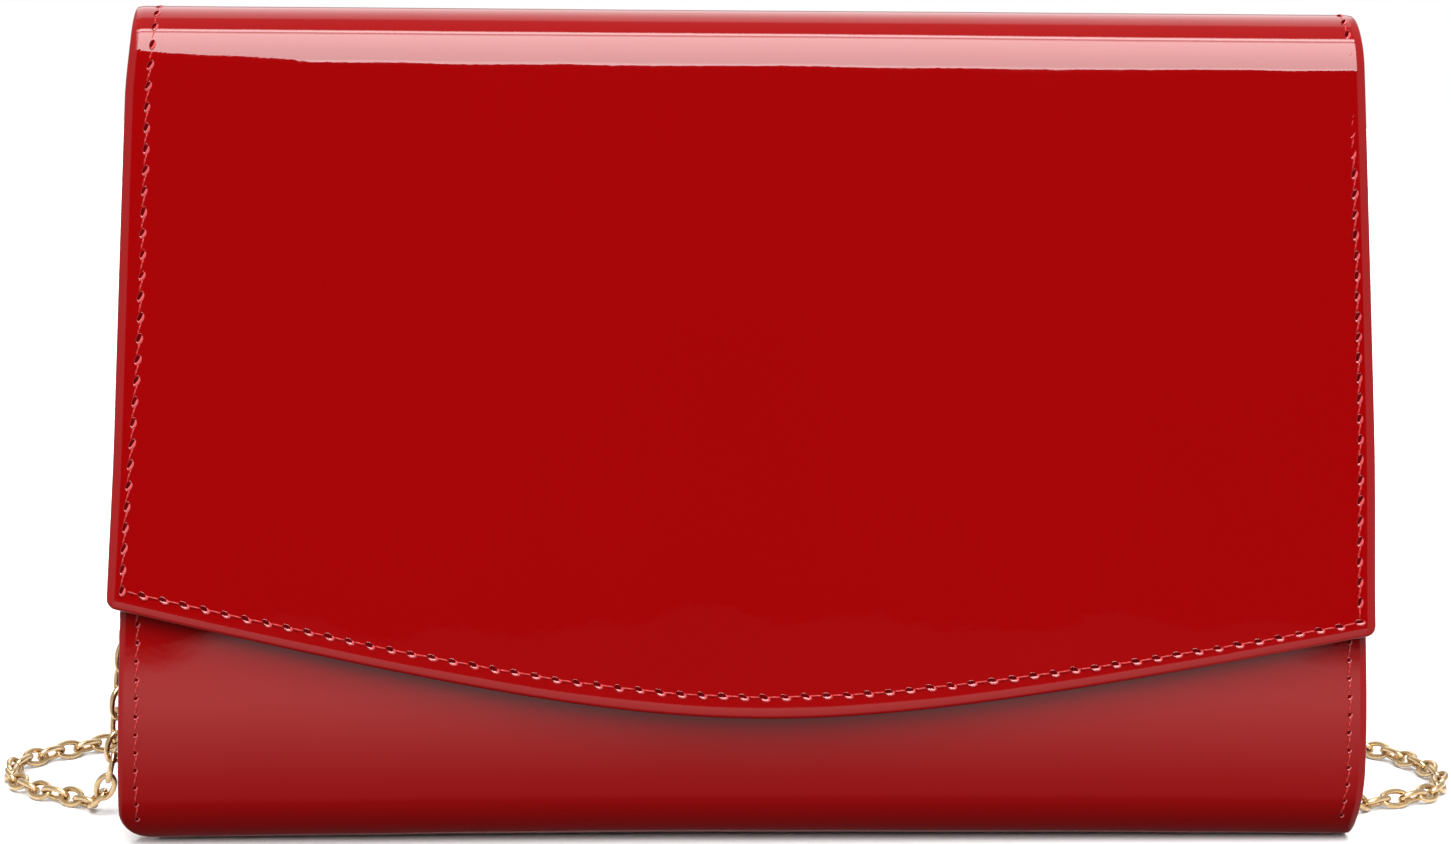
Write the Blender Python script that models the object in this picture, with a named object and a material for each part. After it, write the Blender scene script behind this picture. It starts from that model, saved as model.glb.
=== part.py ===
"""A flap-over clutch purse in patent leather, with a chain strap on two snap hooks.

Metres, +Z up. The front faces -Y, and the origin is the middle of the purse's base on the table.
Every panel is built up in layers, and a layer's depth is counted inwards from the leather's face.
"""

from math import ceil, cos, hypot, pi, radians, sin

import bmesh
import bpy
from mathutils import Matrix, Vector
from mathutils.geometry import interpolate_bezier

# Driving dimensions of the purse. Half widths are at the table, and shrink by TAPER for each metre up.
FLAP_HALF_WIDTH = 0.1266
BODY_HALF_WIDTH = 0.1259
TAPER = 0.030
HEIGHT = 0.1675
GAP = 0.0003

# Side profile: how the skin leans, rolls over the top and tucks under
LEAN_TOP = radians(8.4)
LEAN_LOW = radians(5.0)
TUCK = radians(12)
CORNER_RADIUS = 0.0140
BULGE_RADIUS = 0.088
REAR_ROLL_RADIUS = 0.009
FRONT_ROLL_RADIUS = 0.012
BASE_CORNER_RADIUS = 0.008

# Layers of the body's walls, as depths (from, to)
LEATHER = (0.0, 0.0010)
BOARD = (0.0013, 0.0025)
WASHER = (0.0028, 0.0033)
LINING = (0.0036, 0.0041)
POCKET = (0.0044, 0.0050)
BINDING = (0.0053, 0.0058)
GUSSET_MIDDLE = 0.0018

# Layers of the flap, and how far it lies off the front panel
HEM_DEPTH = 0.0021
FLAP_BOARD = (0.0013, 0.0021)
FLAP_LINING = (0.0024, 0.0029)
STUD_PLATE = (0.0032, 0.0039)
FRONT_OFFSET = 0.0044
HEM_WIDTH = 0.006
HEM_STEP = 0.0006

# The flap's lower edge: two slopes that meet in a rounded point, a little higher on the left
POINT_Z = 0.0286
POINT_RISE = 0.0188
POINT_ROUNDNESS = 0.42
POINT_SPAN = 0.125
FLAP_SKEW = 0.0218

# Gussets
GUSSET_TOP_Z = 0.136
GUSSET_BOTTOM_Z = 0.0060
GUSSET_THICKNESS = 0.0010
FLANGE_WIDTH = 0.0074
FLANGE_INSET = 0.0006
PLEAT_Y = 0.0022
PLEAT_GAP = 0.0008
WEB_AT_BOTTOM = 0.024
WEB_AT_TOP = 0.015
LEAST_PLEAT = 0.004

# How far inner layers stop short of the sides and of the panels' ends
BOARD_INSET = 0.011
LINING_INSET = 0.014
FRONT_LINING_START = 0.001

# Magnetic snap
SNAP_Z = 0.0500
CUP_RADIUS = 0.0070
CUP_DEPTHS = (-0.0001, 0.0023)
CUP_WALL = 0.0006
SNAP_HOLE_RADIUS = 0.0073
MAGNET_HOLE_RADIUS = 0.0030
BOSS_RADIUS = 0.0022
BOSS_LENGTH = 0.0016
STEM_RADIUS = 0.0018
STEM_HOLE_RADIUS = 0.0022
SNAP_WASHER_RADIUS = 0.0080
STUD_WASHER_RADIUS = 0.0060
STUD_BOARD_HOLE = 0.0065
SNAP_HOLE_DEPTHS = (-0.002, 0.003)
STUD_HOLE_DEPTHS = (0.0011, 0.0023)
STEM_HOLE_DEPTHS = (0.0011, 0.0035)
SNAP_FLOOR = 0.0005
SNAP_FIT = 0.0001

# Slip pocket on the back lining
POCKET_HALF_WIDTH = 0.060
POCKET_Z = (0.045, 0.115)
BINDING_HEIGHT = 0.007

# Strap rings, in their own frame: the straight bar is upright, beside the back wall
RING_X = 0.1105
RING_Z = 0.1490
RING_WIRE = 0.0009
RING_HALF_BAR = 0.005
RING_STRAIGHT = 0.004
TAB_INNER_RADIUS = 0.0012
TAB_OUTER_RADIUS = 0.0020
TAB_LENGTH = 0.012
TAB_HALF_HEIGHT = 0.0038
TAB_THICKNESS = 0.0016
TAB_OFF_LINING = 0.0010

# Snap hooks, measured from the middle of the hook's eye
HOOK_X = 0.1150
HOOK_RADIUS = 0.0034
HOOK_WIRE = 0.0010
HOOK_NECK = [(-0.0018, -0.0071), (-0.0027, -0.0046), (-0.0033, -0.0022)]
HOOK_TIP_Z = -0.0008
RING_IN_HOOK = 0.0012
BARREL_TOP = -0.0065
BARREL_BOTTOM = -0.0150
BARREL_RADIUS = 0.0028
WINDOW = (-0.0130, -0.0104)
WINDOW_HALF = 0.0019
WINDOW_REACH = 0.004
POST_RADIUS = 0.0008
POST_HOLE_RADIUS = 0.0011
POST_HEAD_RADIUS = 0.0015
POST_HEAD = (-0.0127, -0.0117)
PIN_RADIUS = 0.0005
PIN_HOLE_RADIUS = 0.0008
PIN_HALF_LENGTH = 0.0026
PIN_AT = (0.0010, -0.0080)
PIN_CUT = 0.004
POST_CUT = (-0.017, -0.0115)
GATE_HALF_THICKNESS = 0.0007
GATE_OUTLINE = [
    (0.0001, -0.0090),
    (0.0022, -0.0090),
    (0.0032, -0.0060),
    (0.0040, -0.0022),
    (0.0026, -0.0022),
    (0.0016, -0.0058),
    (0.0001, -0.0066),
]
GATE_SLOT_HALF = 0.0010
GATE_SLOT_Y = (-0.0009, 0.004)
GATE_SLOT_Z = (-0.0094, -0.004)
EYE_RADIUS = 0.0021
EYE_WIRE = 0.0007
EYE_Z = -0.0190
LINK_HALF_LENGTH = 0.0028
LINK_HALF_WIDTH = 0.0016
LINK_WIRE = 0.0006
LINK_Z = -0.0222

# Chain strap: a route along each side, and the rest of its length in a coil behind the purse
CHAIN_RADIUS = 0.00225
CHAIN_STEP = 0.0105
CHAIN_LAID = 0.0024
COIL_CENTRE = (-0.052, 0.0585)
COIL_INNER_RADIUS = 0.0200
COIL_OUTER_RADIUS = 0.0292
COIL_HEIGHT = 0.0094
COIL_EDGE = 0.0012
COIL_SIDES = 36
LEFT_ROUTE = [
    (-0.1150, 0.0056, 0.1159),
    (-0.1160, 0.0057, 0.1000),
    (-0.1192, 0.0061, 0.0780),
    (-0.1236, 0.0068, 0.0540),
    (-0.1270, 0.0076, 0.0310),
    (-0.1290, 0.0086, 0.0150),
    (-0.1318, 0.0112, 0.0055),
    (-0.1358, 0.0160, CHAIN_LAID),
    (-0.1405, 0.0208, CHAIN_LAID),
    (-0.1455, 0.0242, CHAIN_LAID),
    (-0.1502, 0.0292, CHAIN_LAID),
    (-0.1543, 0.0368, CHAIN_LAID),
    (-0.1558, 0.0460, CHAIN_LAID),
    (-0.1535, 0.0550, CHAIN_LAID),
    (-0.1480, 0.0626, CHAIN_LAID),
    (-0.1400, 0.0700, CHAIN_LAID),
    (-0.1280, 0.0768, CHAIN_LAID),
    (-0.1120, 0.0818, CHAIN_LAID),
    (-0.0940, 0.0846, CHAIN_LAID),
    (-0.0800, 0.0850, CHAIN_LAID),
    (-0.0690, 0.0850, CHAIN_LAID),
]
RIGHT_ROUTE = [
    (0.1150, 0.0056, 0.1159),
    (0.1160, 0.0057, 0.1000),
    (0.1186, 0.0061, 0.0780),
    (0.1222, 0.0068, 0.0540),
    (0.1252, 0.0074, 0.0310),
    (0.1272, 0.0080, 0.0150),
    (0.1296, 0.0092, 0.0055),
    (0.1334, 0.0118, CHAIN_LAID),
    (0.1390, 0.0146, CHAIN_LAID),
    (0.1448, 0.0168, CHAIN_LAID),
    (0.1502, 0.0215, CHAIN_LAID),
    (0.1540, 0.0295, CHAIN_LAID),
    (0.1550, 0.0390, CHAIN_LAID),
    (0.1532, 0.0480, CHAIN_LAID),
    (0.1495, 0.0570, CHAIN_LAID),
    (0.1430, 0.0650, CHAIN_LAID),
    (0.1320, 0.0710, CHAIN_LAID),
    (0.1120, 0.0742, CHAIN_LAID),
    (0.0850, 0.0745, CHAIN_LAID),
    (0.0500, 0.0735, CHAIN_LAID),
    (0.0200, 0.0725, CHAIN_LAID),
    (-0.0040, 0.0740, CHAIN_LAID),
    (-0.0212, 0.0790, CHAIN_LAID),
    (-0.0360, 0.0862, CHAIN_LAID),
]

# Thread
THREAD_RADIUS = 0.00035
SEAM_INSET = 0.0036
SEAM_START = 0.002
SEAM_RISE = 0.0052
THREAD_LIFT = -(1.5 * GAP + THREAD_RADIUS)
SIDE_SEAM_STEPS = 16
EDGE_SEAM_STEPS = 30

MAX_TURN = radians(13)
LONGEST_STEP = 0.022
BORE_SIDES = 24
SMALL_SIDES = 12
RING_SIDES = 14


class Path:
    """A curve in the YZ plane, walked as arcs and straight runs, with its inside on the left."""

    def __init__(self, start, heading, pieces):
        self.pieces = []
        s = 0.0
        point = start
        for length, turn in pieces:
            self.pieces.append((s, length, point, heading, turn))
            point, heading = self.walk(point, heading, length, turn, length)
            s += length
        self.length = s
        self.end = point
        self.end_heading = heading

    @staticmethod
    def walk(point, heading, length, turn, t):
        y, z = point
        if abs(turn) < 1e-9:
            return (y + t * cos(heading), z + t * sin(heading)), heading
        radius = length / turn
        ahead = heading + t / radius
        return (y + radius * (sin(ahead) - sin(heading)), z + radius * (cos(heading) - cos(ahead))), ahead

    def at(self, s, depth=0.0):
        """The point at s along the curve and a depth to its left, and the heading there."""
        on = max((p for p in self.pieces if p[0] <= s + 1e-12), key=lambda p: p[0], default=self.pieces[0])
        start, length, point, heading, turn = on
        (y, z), ahead = self.walk(point, heading, length, turn, s - start)
        return (y - depth * sin(ahead), z + depth * cos(ahead)), ahead

    def start_of(self, piece):
        return self.pieces[piece][0]

    def reach(self, z, piece, depth=0.0):
        """The s at which one piece of the curve passes height z."""
        low = self.pieces[piece][0]
        high = low + self.pieces[piece][1]
        rising = self.at(high - 1e-9, depth)[0][1] > self.at(low, depth)[0][1]
        for _ in range(40):
            middle = (low + high) / 2
            if (self.at(middle, depth)[0][1] < z) == rising:
                low = middle
            else:
                high = middle
        return (low + high) / 2

    def stations(self, s0, s1):
        """Places from s0 to s1, close together where the curve turns."""
        found = [s0]
        for start, length, _, _, turn in self.pieces:
            a = max(start, s0)
            b = min(start + length, s1)
            if b - a < 1e-6:
                continue
            turns = ceil(abs(turn) * (b - a) / length / MAX_TURN)
            steps = max(1, turns, ceil((b - a) / LONGEST_STEP) if turn else 1)
            found += [a + (b - a) * k / steps for k in range(1, steps + 1)]
        return found


def run_for_rise(rise, heading, turn):
    """The length of an arc that starts at heading, turns by turn and climbs by rise."""
    return rise * turn / (cos(heading) - cos(heading + turn))


# The skin runs from the front panel's foot under the base, up the back, over the top and down the flap.
FRONT_CORNER, BASE, BACK_CORNER, BACK_BULGE, BACK, REAR_ROLL, FRONT_ROLL, FLAP = range(8)
FRONT_LEAN, FRONT_BULGE = range(2)

UP = pi / 2
DOWN = 3 * pi / 2
CORNER_TURN = pi / 2 - TUCK
BULGE_TURN = TUCK + LEAN_LOW
PANEL_TURN = LEAN_TOP - LEAN_LOW
ROLL_TURN = pi / 2 - LEAN_TOP
FOOT_Z = CORNER_RADIUS * (1 - sin(TUCK))
BULGE_TOP_Z = FOOT_Z + BULGE_RADIUS * (sin(TUCK) + sin(LEAN_LOW))
FLAP_LOWEST_Z = 0.018
FLAP_TURN = radians(3.7)
FRONT_TOP_DROP = 0.0035


def skin_path(start_y, base_run):
    back_rise = HEIGHT - REAR_ROLL_RADIUS * (1 - sin(LEAN_TOP)) - BULGE_TOP_Z
    flap_fall = HEIGHT - FRONT_ROLL_RADIUS * (1 - sin(LEAN_TOP)) - FLAP_LOWEST_Z
    pieces = [
        (CORNER_RADIUS * CORNER_TURN, CORNER_TURN),
        (base_run, 0.0),
        (CORNER_RADIUS * CORNER_TURN, CORNER_TURN),
        (BULGE_RADIUS * BULGE_TURN, BULGE_TURN),
        (run_for_rise(back_rise, UP + LEAN_LOW, PANEL_TURN), PANEL_TURN),
        (REAR_ROLL_RADIUS * ROLL_TURN, ROLL_TURN),
        (FRONT_ROLL_RADIUS * ROLL_TURN, ROLL_TURN),
        (run_for_rise(-flap_fall, DOWN - LEAN_TOP, FLAP_TURN), FLAP_TURN),
    ]
    return Path((start_y, FOOT_Z), TUCK - pi / 2, pieces)


def front_path(skin):
    """The front panel's face, which follows the flap and then tucks under to the skin's start."""
    top = skin.start_of(FLAP) + FRONT_TOP_DROP
    start, heading = skin.at(top, FRONT_OFFSET)
    turn = DOWN - LEAN_LOW - heading
    lean = run_for_rise(BULGE_TOP_Z - start[1], heading, turn)
    return Path(start, heading, [(lean, turn), (BULGE_RADIUS * BULGE_TURN, BULGE_TURN)])


def fitted_paths():
    """The two paths, with the base as wide as closes the loop and the purse centred on Y."""
    open_loop = skin_path(0.0, 0.0)
    base_run = -front_path(open_loop).end[0]
    loose = skin_path(0.0, base_run)
    rear = max(loose.at(s)[0][0] for s in loose.stations(0.0, loose.length))
    front = loose.end[0]
    skin = skin_path(-(rear + front) / 2, base_run)
    return skin, front_path(skin)


SKIN, FRONT = fitted_paths()
CREASE_TURN = pi / 4
REAR_CREASE_S = SKIN.start_of(FRONT_ROLL) - REAR_ROLL_RADIUS * CREASE_TURN
FRONT_CREASE_S = SKIN.start_of(FRONT_ROLL) + FRONT_ROLL_RADIUS * CREASE_TURN
FOLD_REACH = pi / 4


def roll_top():
    return SKIN.at(SKIN.start_of(FRONT_ROLL))[0]


def crease_point(radius, side):
    """A fold's axis: far enough off the roll's centre for the bent leather to straighten."""
    y, z = roll_top()
    return Vector((0, y + side * FOLD_REACH * radius, z - radius + FOLD_REACH * radius))


def foot_point():
    return Vector((0, *SKIN.at(0.0)[0]))


# Scene, materials and mesh helpers

MATERIALS = {
    "patent_red": ((0.40, 0.004, 0.006), 0.08, 0.0),
    "patent_red_edge": ((0.33, 0.010, 0.014), 0.25, 0.0),
    "lining_fabric": ((0.10, 0.012, 0.014), 0.85, 0.0),
    "board_grey": ((0.35, 0.32, 0.28), 0.90, 0.0),
    "pale_gold": ((0.83, 0.62, 0.33), 0.22, 1.0),
    "snap_steel": ((0.62, 0.60, 0.56), 0.30, 1.0),
    "magnet_dark": ((0.05, 0.05, 0.055), 0.45, 1.0),
    "thread_red": ((0.52, 0.05, 0.05), 0.60, 0.0),
}


def clear_scene():
    for obj in list(bpy.data.objects):
        bpy.data.objects.remove(obj, do_unlink=True)


def material(name):
    found = bpy.data.materials.get(name)
    if found:
        return found
    colour, roughness, metallic = MATERIALS[name]
    made = bpy.data.materials.new(name)
    made.use_nodes = True
    shader = made.node_tree.nodes["Principled BSDF"]
    shader.inputs["Base Color"].default_value = (*colour, 1)
    shader.inputs["Roughness"].default_value = roughness
    shader.inputs["Metallic"].default_value = metallic
    return made


def place(name, mesh, material_name, pivot=None):
    """Put a mesh made in world coordinates into the scene, with its origin on its pivot."""
    obj = bpy.data.objects.new(name, mesh)
    bpy.context.collection.objects.link(obj)
    mesh.materials.clear()
    mesh.materials.append(material(material_name))
    if pivot is not None:
        mesh.transform(Matrix.Translation(-pivot))
        obj.location = pivot
    return obj


def finish_mesh(name, bm):
    bmesh.ops.recalc_face_normals(bm, faces=bm.faces)
    mesh = bpy.data.meshes.new(name)
    bm.to_mesh(mesh)
    bm.free()
    return mesh


def smooth(obj, angle=radians(35)):
    obj.data.shade_smooth()
    obj.data.set_sharp_from_angle(angle=angle)


def slab(name, outer, inner):
    """A closed solid between two grids of points with the same rows and columns."""
    bm = bmesh.new()
    faces = []
    for grid in (outer, inner):
        faces.append([[bm.verts.new(p) for p in row] for row in grid])
    rows = len(outer)
    columns = len(outer[0])
    for grid in faces:
        for j in range(rows - 1):
            for i in range(columns - 1):
                bm.faces.new((grid[j][i], grid[j][i + 1], grid[j + 1][i + 1], grid[j + 1][i]))
    rim = [(0, i) for i in range(columns)]
    rim += [(j, columns - 1) for j in range(1, rows)]
    rim += [(rows - 1, i) for i in range(columns - 2, -1, -1)]
    rim += [(j, 0) for j in range(rows - 2, 0, -1)]
    for (ja, ia), (jb, ib) in zip(rim, rim[1:] + rim[:1]):
        bm.faces.new((faces[0][ja][ia], faces[0][jb][ib], faces[1][jb][ib], faces[1][ja][ia]))
    return finish_mesh(name, bm)


def sheet(name, path, s0, s1, half_width, depths, material_name, pivot=None):
    """A layer as wide as half_width(z) each side, between two depths of a path."""
    def row(s, depth):
        (y, z), _ = path.at(s, depth)
        half = half_width(path.at(s)[0][1])
        return [Vector((-half, y, z)), Vector((half, y, z))]

    stations = path.stations(s0, s1)
    outer = [row(s, depths[0]) for s in stations]
    inner = [row(s, depths[1]) for s in stations]
    obj = place(name, slab(name, outer, inner), material_name, pivot)
    smooth(obj)
    return obj


def turned(name, profile, sides, frame):
    """A solid turned round its own Z from (radius, height) points, bottom to top, placed by a matrix."""
    bm = bmesh.new()
    rings = []
    for radius, height in profile:
        if radius == 0:
            rings.append([bm.verts.new((0, 0, height))])
            continue
        angles = [2 * pi * k / sides for k in range(sides)]
        rings.append([bm.verts.new((radius * cos(a), radius * sin(a), height)) for a in angles])
    closed = profile[0][0] > 0 and profile[-1][0] > 0
    pairs = list(zip(rings, rings[1:])) + ([(rings[-1], rings[0])] if closed else [])
    for low, high in pairs:
        for k in range(sides):
            n = (k + 1) % sides
            corners = [low[k % len(low)], low[n % len(low)], high[n % len(high)], high[k % len(high)]]
            bm.faces.new(list(dict.fromkeys(corners)))
    bm.transform(frame)
    return finish_mesh(name, bm)


def rod(radius, z0, z1):
    return [(0, z0), (radius, z0), (radius, z1), (0, z1)]


def bush(inner, outer, z0, z1):
    return [(inner, z0), (outer, z0), (outer, z1), (inner, z1)]


def cutter(name, mesh):
    """A hidden solid that a Boolean takes away or adds."""
    obj = bpy.data.objects.new(name, mesh)
    bpy.context.collection.objects.link(obj)
    obj.hide_render = True
    obj.display_type = "WIRE"
    return obj


def boolean(obj, tool, operation="DIFFERENCE"):
    change = obj.modifiers.new(operation.lower(), "BOOLEAN")
    change.operation = operation
    change.solver = "EXACT"
    change.object = tool


def block_mesh(name, low, high, frame=None):
    bm = bmesh.new()
    bmesh.ops.create_cube(bm, size=1.0)
    size = Vector(high) - Vector(low)
    middle = (Vector(high) + Vector(low)) / 2
    bm.transform(Matrix.Translation(middle) @ Matrix.Diagonal((*size, 1)))
    if frame:
        bm.transform(frame)
    return finish_mesh(name, bm)


def tube(name, points, radius, material_name, cyclic=False, resolution=2):
    """A curve object with a round section, along a list of points."""
    curve = bpy.data.curves.new(name, "CURVE")
    curve.dimensions = "3D"
    curve.bevel_depth = radius
    curve.bevel_resolution = resolution
    curve.use_fill_caps = not cyclic
    spline = curve.splines.new("POLY")
    spline.points.add(len(points) - 1)
    for target, point in zip(spline.points, points):
        target.co = (*point, 1)
    spline.use_cyclic_u = cyclic
    spline.use_smooth = True
    curve.materials.append(material(material_name))
    obj = bpy.data.objects.new(name, curve)
    bpy.context.collection.objects.link(obj)
    return obj


def tube_mesh(name, points, radius, cyclic=False, resolution=2):
    """The same as a mesh, for a Boolean or for a piece with a pivot."""
    obj = tube(name, points, radius, "pale_gold", cyclic, resolution)
    bpy.context.view_layer.update()
    mesh = bpy.data.meshes.new_from_object(obj.evaluated_get(bpy.context.evaluated_depsgraph_get()))
    curve = obj.data
    bpy.data.objects.remove(obj, do_unlink=True)
    bpy.data.curves.remove(curve)
    return mesh


def smooth_route(route, step):
    """Points every step along a smooth curve through the route's own points."""
    points = [Vector(p) for p in route]
    ends = [points[0] * 2 - points[1], *points, points[-1] * 2 - points[-2]]
    fine = [points[0]]
    for k in range(len(points) - 1):
        a, b, c, d = ends[k:k + 4]
        fine += interpolate_bezier(b, b + (c - a) / 6, c - (d - b) / 6, c, 13)[1:]
    lengths = [0.0]
    for p, q in zip(fine, fine[1:]):
        lengths.append(lengths[-1] + (q - p).length)
    count = round(lengths[-1] / step)
    found = []
    for k in range(count + 1):
        target = lengths[-1] * k / count
        i = min(max(j for j, length in enumerate(lengths) if length <= target + 1e-12), len(fine) - 2)
        share = (target - lengths[i]) / (lengths[i + 1] - lengths[i])
        found.append(fine[i].lerp(fine[i + 1], share))
    return found


# Widths

def body_half(z):
    """The body's half width, rounded in at the base's corners."""
    left = max(0.0, BASE_CORNER_RADIUS - z)
    corner = BASE_CORNER_RADIUS - (BASE_CORNER_RADIUS ** 2 - left ** 2) ** 0.5
    return BODY_HALF_WIDTH - TAPER * z - corner


def board_half(z):
    return BODY_HALF_WIDTH - TAPER * z - BOARD_INSET


def lining_half(z):
    return BODY_HALF_WIDTH - TAPER * z - LINING_INSET


def flap_half(z):
    return FLAP_HALF_WIDTH - TAPER * z


# Panels

def panel_frame(path, s, x=0.0):
    """A frame on a panel's face, with Z pointing into the purse and Y along the panel."""
    (y, z), heading = path.at(s)
    into = Vector((0, -sin(heading), cos(heading)))
    along = Vector((0, cos(heading), sin(heading)))
    side = along.cross(into)
    turn = Matrix((side, along, into)).transposed().to_4x4()
    return Matrix.Translation((x, y, z)) @ turn


def snap_on_front():
    return panel_frame(FRONT, FRONT.reach(SNAP_Z, FRONT_LEAN))


def snap_on_flap():
    return snap_on_front() @ Matrix.Translation((0, 0, -FRONT_OFFSET))


def make_shell():
    """The fixed back and base, in one skin from the front panel's foot to the rear crease."""
    start = GAP / 2
    end = REAR_CREASE_S - GAP / 2
    sheet("back_and_base_leather", SKIN, start, end, body_half, LEATHER, "patent_red")
    board_low = SKIN.start_of(BACK_BULGE) + GAP
    board_high = SKIN.start_of(REAR_ROLL) - HEM_WIDTH
    sheet("back_board", SKIN, board_low, board_high, board_half, BOARD, "board_grey")
    base_low = SKIN.start_of(BASE) - HEM_WIDTH
    base_high = SKIN.start_of(BACK_CORNER) + HEM_WIDTH
    sheet("base_board", SKIN, base_low, base_high, lining_half, BOARD, "board_grey")
    sheet("body_lining", SKIN, HEM_WIDTH / 2, end, lining_half, LINING, "lining_fabric")


def make_pocket():
    low = SKIN.reach(POCKET_Z[0], BACK)
    high = SKIN.reach(POCKET_Z[1], BACK)
    sheet("slip_pocket", SKIN, low, high, lambda z: POCKET_HALF_WIDTH, POCKET, "lining_fabric")
    bound = high - BINDING_HEIGHT
    sheet("pocket_binding", SKIN, bound, high, lambda z: POCKET_HALF_WIDTH, BINDING, "patent_red_edge")


def make_front():
    """The front panel, its board and lining, hinged at its foot."""
    pivot = foot_point()
    end = FRONT.length - GAP / 2
    lining_end = end - HEM_WIDTH / 2
    leather = sheet("front_panel_leather", FRONT, 0.0, end, body_half, LEATHER, "patent_red", pivot)
    board = sheet("front_board", FRONT, HEM_WIDTH, end - GAP, board_half, BOARD, "board_grey", pivot)
    low_edge = FRONT_LINING_START
    sheet("front_lining", FRONT, low_edge, lining_end, lining_half, LINING, "lining_fabric", pivot)
    bore = rod(SNAP_HOLE_RADIUS, *SNAP_HOLE_DEPTHS)
    hole = cutter("snap_hole", turned("snap_hole", bore, BORE_SIDES, snap_on_front()))
    boolean(leather, hole)
    boolean(board, hole)


def flap_edge_z(x):
    """Height of the flap's lower edge: a rounded point, with the whole edge slightly askew."""
    rise = hypot(x / POINT_SPAN, POINT_ROUNDNESS) - POINT_ROUNDNESS
    return POINT_Z + POINT_RISE * rise / (hypot(1, POINT_ROUNDNESS) - POINT_ROUNDNESS) - FLAP_SKEW * x


def flap_layer(name, s0, inset, bottom_inset, depths, material_name, pivot, columns=14):
    """A layer of the flap that follows its shaped lower edge; depths may change with place."""
    wide = POINT_SPAN - inset
    rims = [0.0, HEM_WIDTH / wide, (HEM_WIDTH + HEM_STEP) / wide] if callable(depths[1]) else [0.0]
    inner = [-1 + rims[-1] + (2 - 2 * rims[-1]) * k / columns for k in range(1, columns)]
    across = [-1 + r for r in rims] + inner + [1 - r for r in reversed(rims)]
    middle = SKIN.start_of(FLAP)

    def grid(which):
        rows = []
        for down in flap_rows(s0, middle, bottom_inset, callable(depths[1])):
            row = []
            for u in across:
                end = SKIN.reach(flap_edge_z(u * wide), FLAP) - bottom_inset
                s = down(end)
                half = flap_half(SKIN.at(s)[0][1]) - inset
                depth = depths[which]
                if callable(depth):
                    depth = depth(half * (1 - abs(u)), end - s)
                (y, z), _ = SKIN.at(s, depth)
                row.append(Vector((u * half, y, z)))
            rows.append(row)
        return rows

    return place(name, slab(name, grid(0), grid(1)), material_name, pivot)


def flap_rows(s0, middle, bottom_inset, hemmed):
    """Rules that give a row's place for any length of flap: fixed in the roll, shared out below it."""
    rows = []
    for s in SKIN.stations(s0, middle) if s0 < middle - 1e-6 else []:
        rows.append(lambda end, s=s: s)
    start = max(s0, middle)
    rim = HEM_WIDTH + HEM_STEP if hemmed else 0.0
    count = 7
    first = 1 if rows else 0
    for k in range(first, count + 1):
        rows.append(lambda end, k=k: start + (end - rim - start) * k / count)
    if hemmed:
        rows.append(lambda end: end - HEM_WIDTH)
        rows.append(lambda end: end)
    return rows


def hem_depth(from_side, from_edge):
    """The leather is turned over along the sides and the lower edge."""
    near = min(from_side, from_edge)
    return HEM_DEPTH if near < HEM_WIDTH + HEM_STEP / 2 else LEATHER[1]


def make_flap():
    pivot = crease_point(FRONT_ROLL_RADIUS, -1)
    start = FRONT_CREASE_S + GAP / 2
    below_roll = SKIN.start_of(FLAP) + HEM_WIDTH / 2
    clear = HEM_WIDTH + HEM_STEP + GAP
    turned_in = HEM_WIDTH / 3
    leather = flap_layer("flap_leather", start, 0.0, 0.0, (0.0, hem_depth), "patent_red", pivot)
    smooth(leather)
    board = flap_layer("flap_board", below_roll, clear, clear, FLAP_BOARD, "board_grey", pivot)
    lining = flap_layer("flap_lining", start, turned_in, turned_in, FLAP_LINING, "lining_fabric", pivot)
    frame = snap_on_flap()
    wide = turned("stud_hole", rod(STUD_BOARD_HOLE, *STUD_HOLE_DEPTHS), BORE_SIDES, frame)
    boolean(board, cutter("stud_hole", wide))
    narrow = turned("stem_hole", rod(STEM_HOLE_RADIUS, *STEM_HOLE_DEPTHS), SMALL_SIDES, frame)
    boolean(lining, cutter("stem_hole", narrow))


def make_spine():
    """The strip along the top between the two creases."""
    pivot = crease_point(REAR_ROLL_RADIUS, 1)
    start = REAR_CREASE_S + GAP / 2
    end = FRONT_CREASE_S - GAP / 2
    sheet("spine_leather", SKIN, start, end, flap_half, LEATHER, "patent_red", pivot)
    sheet("spine_lining", SKIN, start, end, lining_half, FLAP_LINING, "lining_fabric", pivot)


# Gussets

def web_length(z):
    share = (z - FOOT_Z) / (GUSSET_TOP_Z - FOOT_Z)
    return WEB_AT_BOTTOM + (WEB_AT_TOP - WEB_AT_BOTTOM) * min(max(share, 0), 1)


def gusset_row(path, s, side, toward):
    """A line across one gusset half: along the flange, then in to the pleat."""
    (y, z), _ = path.at(s, GUSSET_MIDDLE)
    half = body_half(path.at(s)[0][1])
    pleat_y = PLEAT_Y + toward * PLEAT_GAP
    reach = abs(pleat_y - y)
    length = web_length(z)
    pleat = max(length * length - reach * reach, LEAST_PLEAT ** 2) ** 0.5
    inner = half - FLANGE_INSET - FLANGE_WIDTH
    xs = [half - FLANGE_INSET, inner, inner - pleat]
    return [Vector((side * x, at, z)) for x, at in zip(xs, (y, y, pleat_y))]


def make_gusset_half(name, path, stations, side, toward, pivot=None):
    bm = bmesh.new()
    rows = [[bm.verts.new(p) for p in gusset_row(path, s, side, toward)] for s in stations]
    for low, high in zip(rows, rows[1:]):
        for i in range(2):
            bm.faces.new((low[i], low[i + 1], high[i + 1], high[i]))
    obj = place(name, finish_mesh(name, bm), "patent_red", pivot)
    thick = obj.modifiers.new("thickness", "SOLIDIFY")
    thick.thickness = GUSSET_THICKNESS
    thick.offset = 0.0
    thick.use_even_offset = True
    return obj


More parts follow.
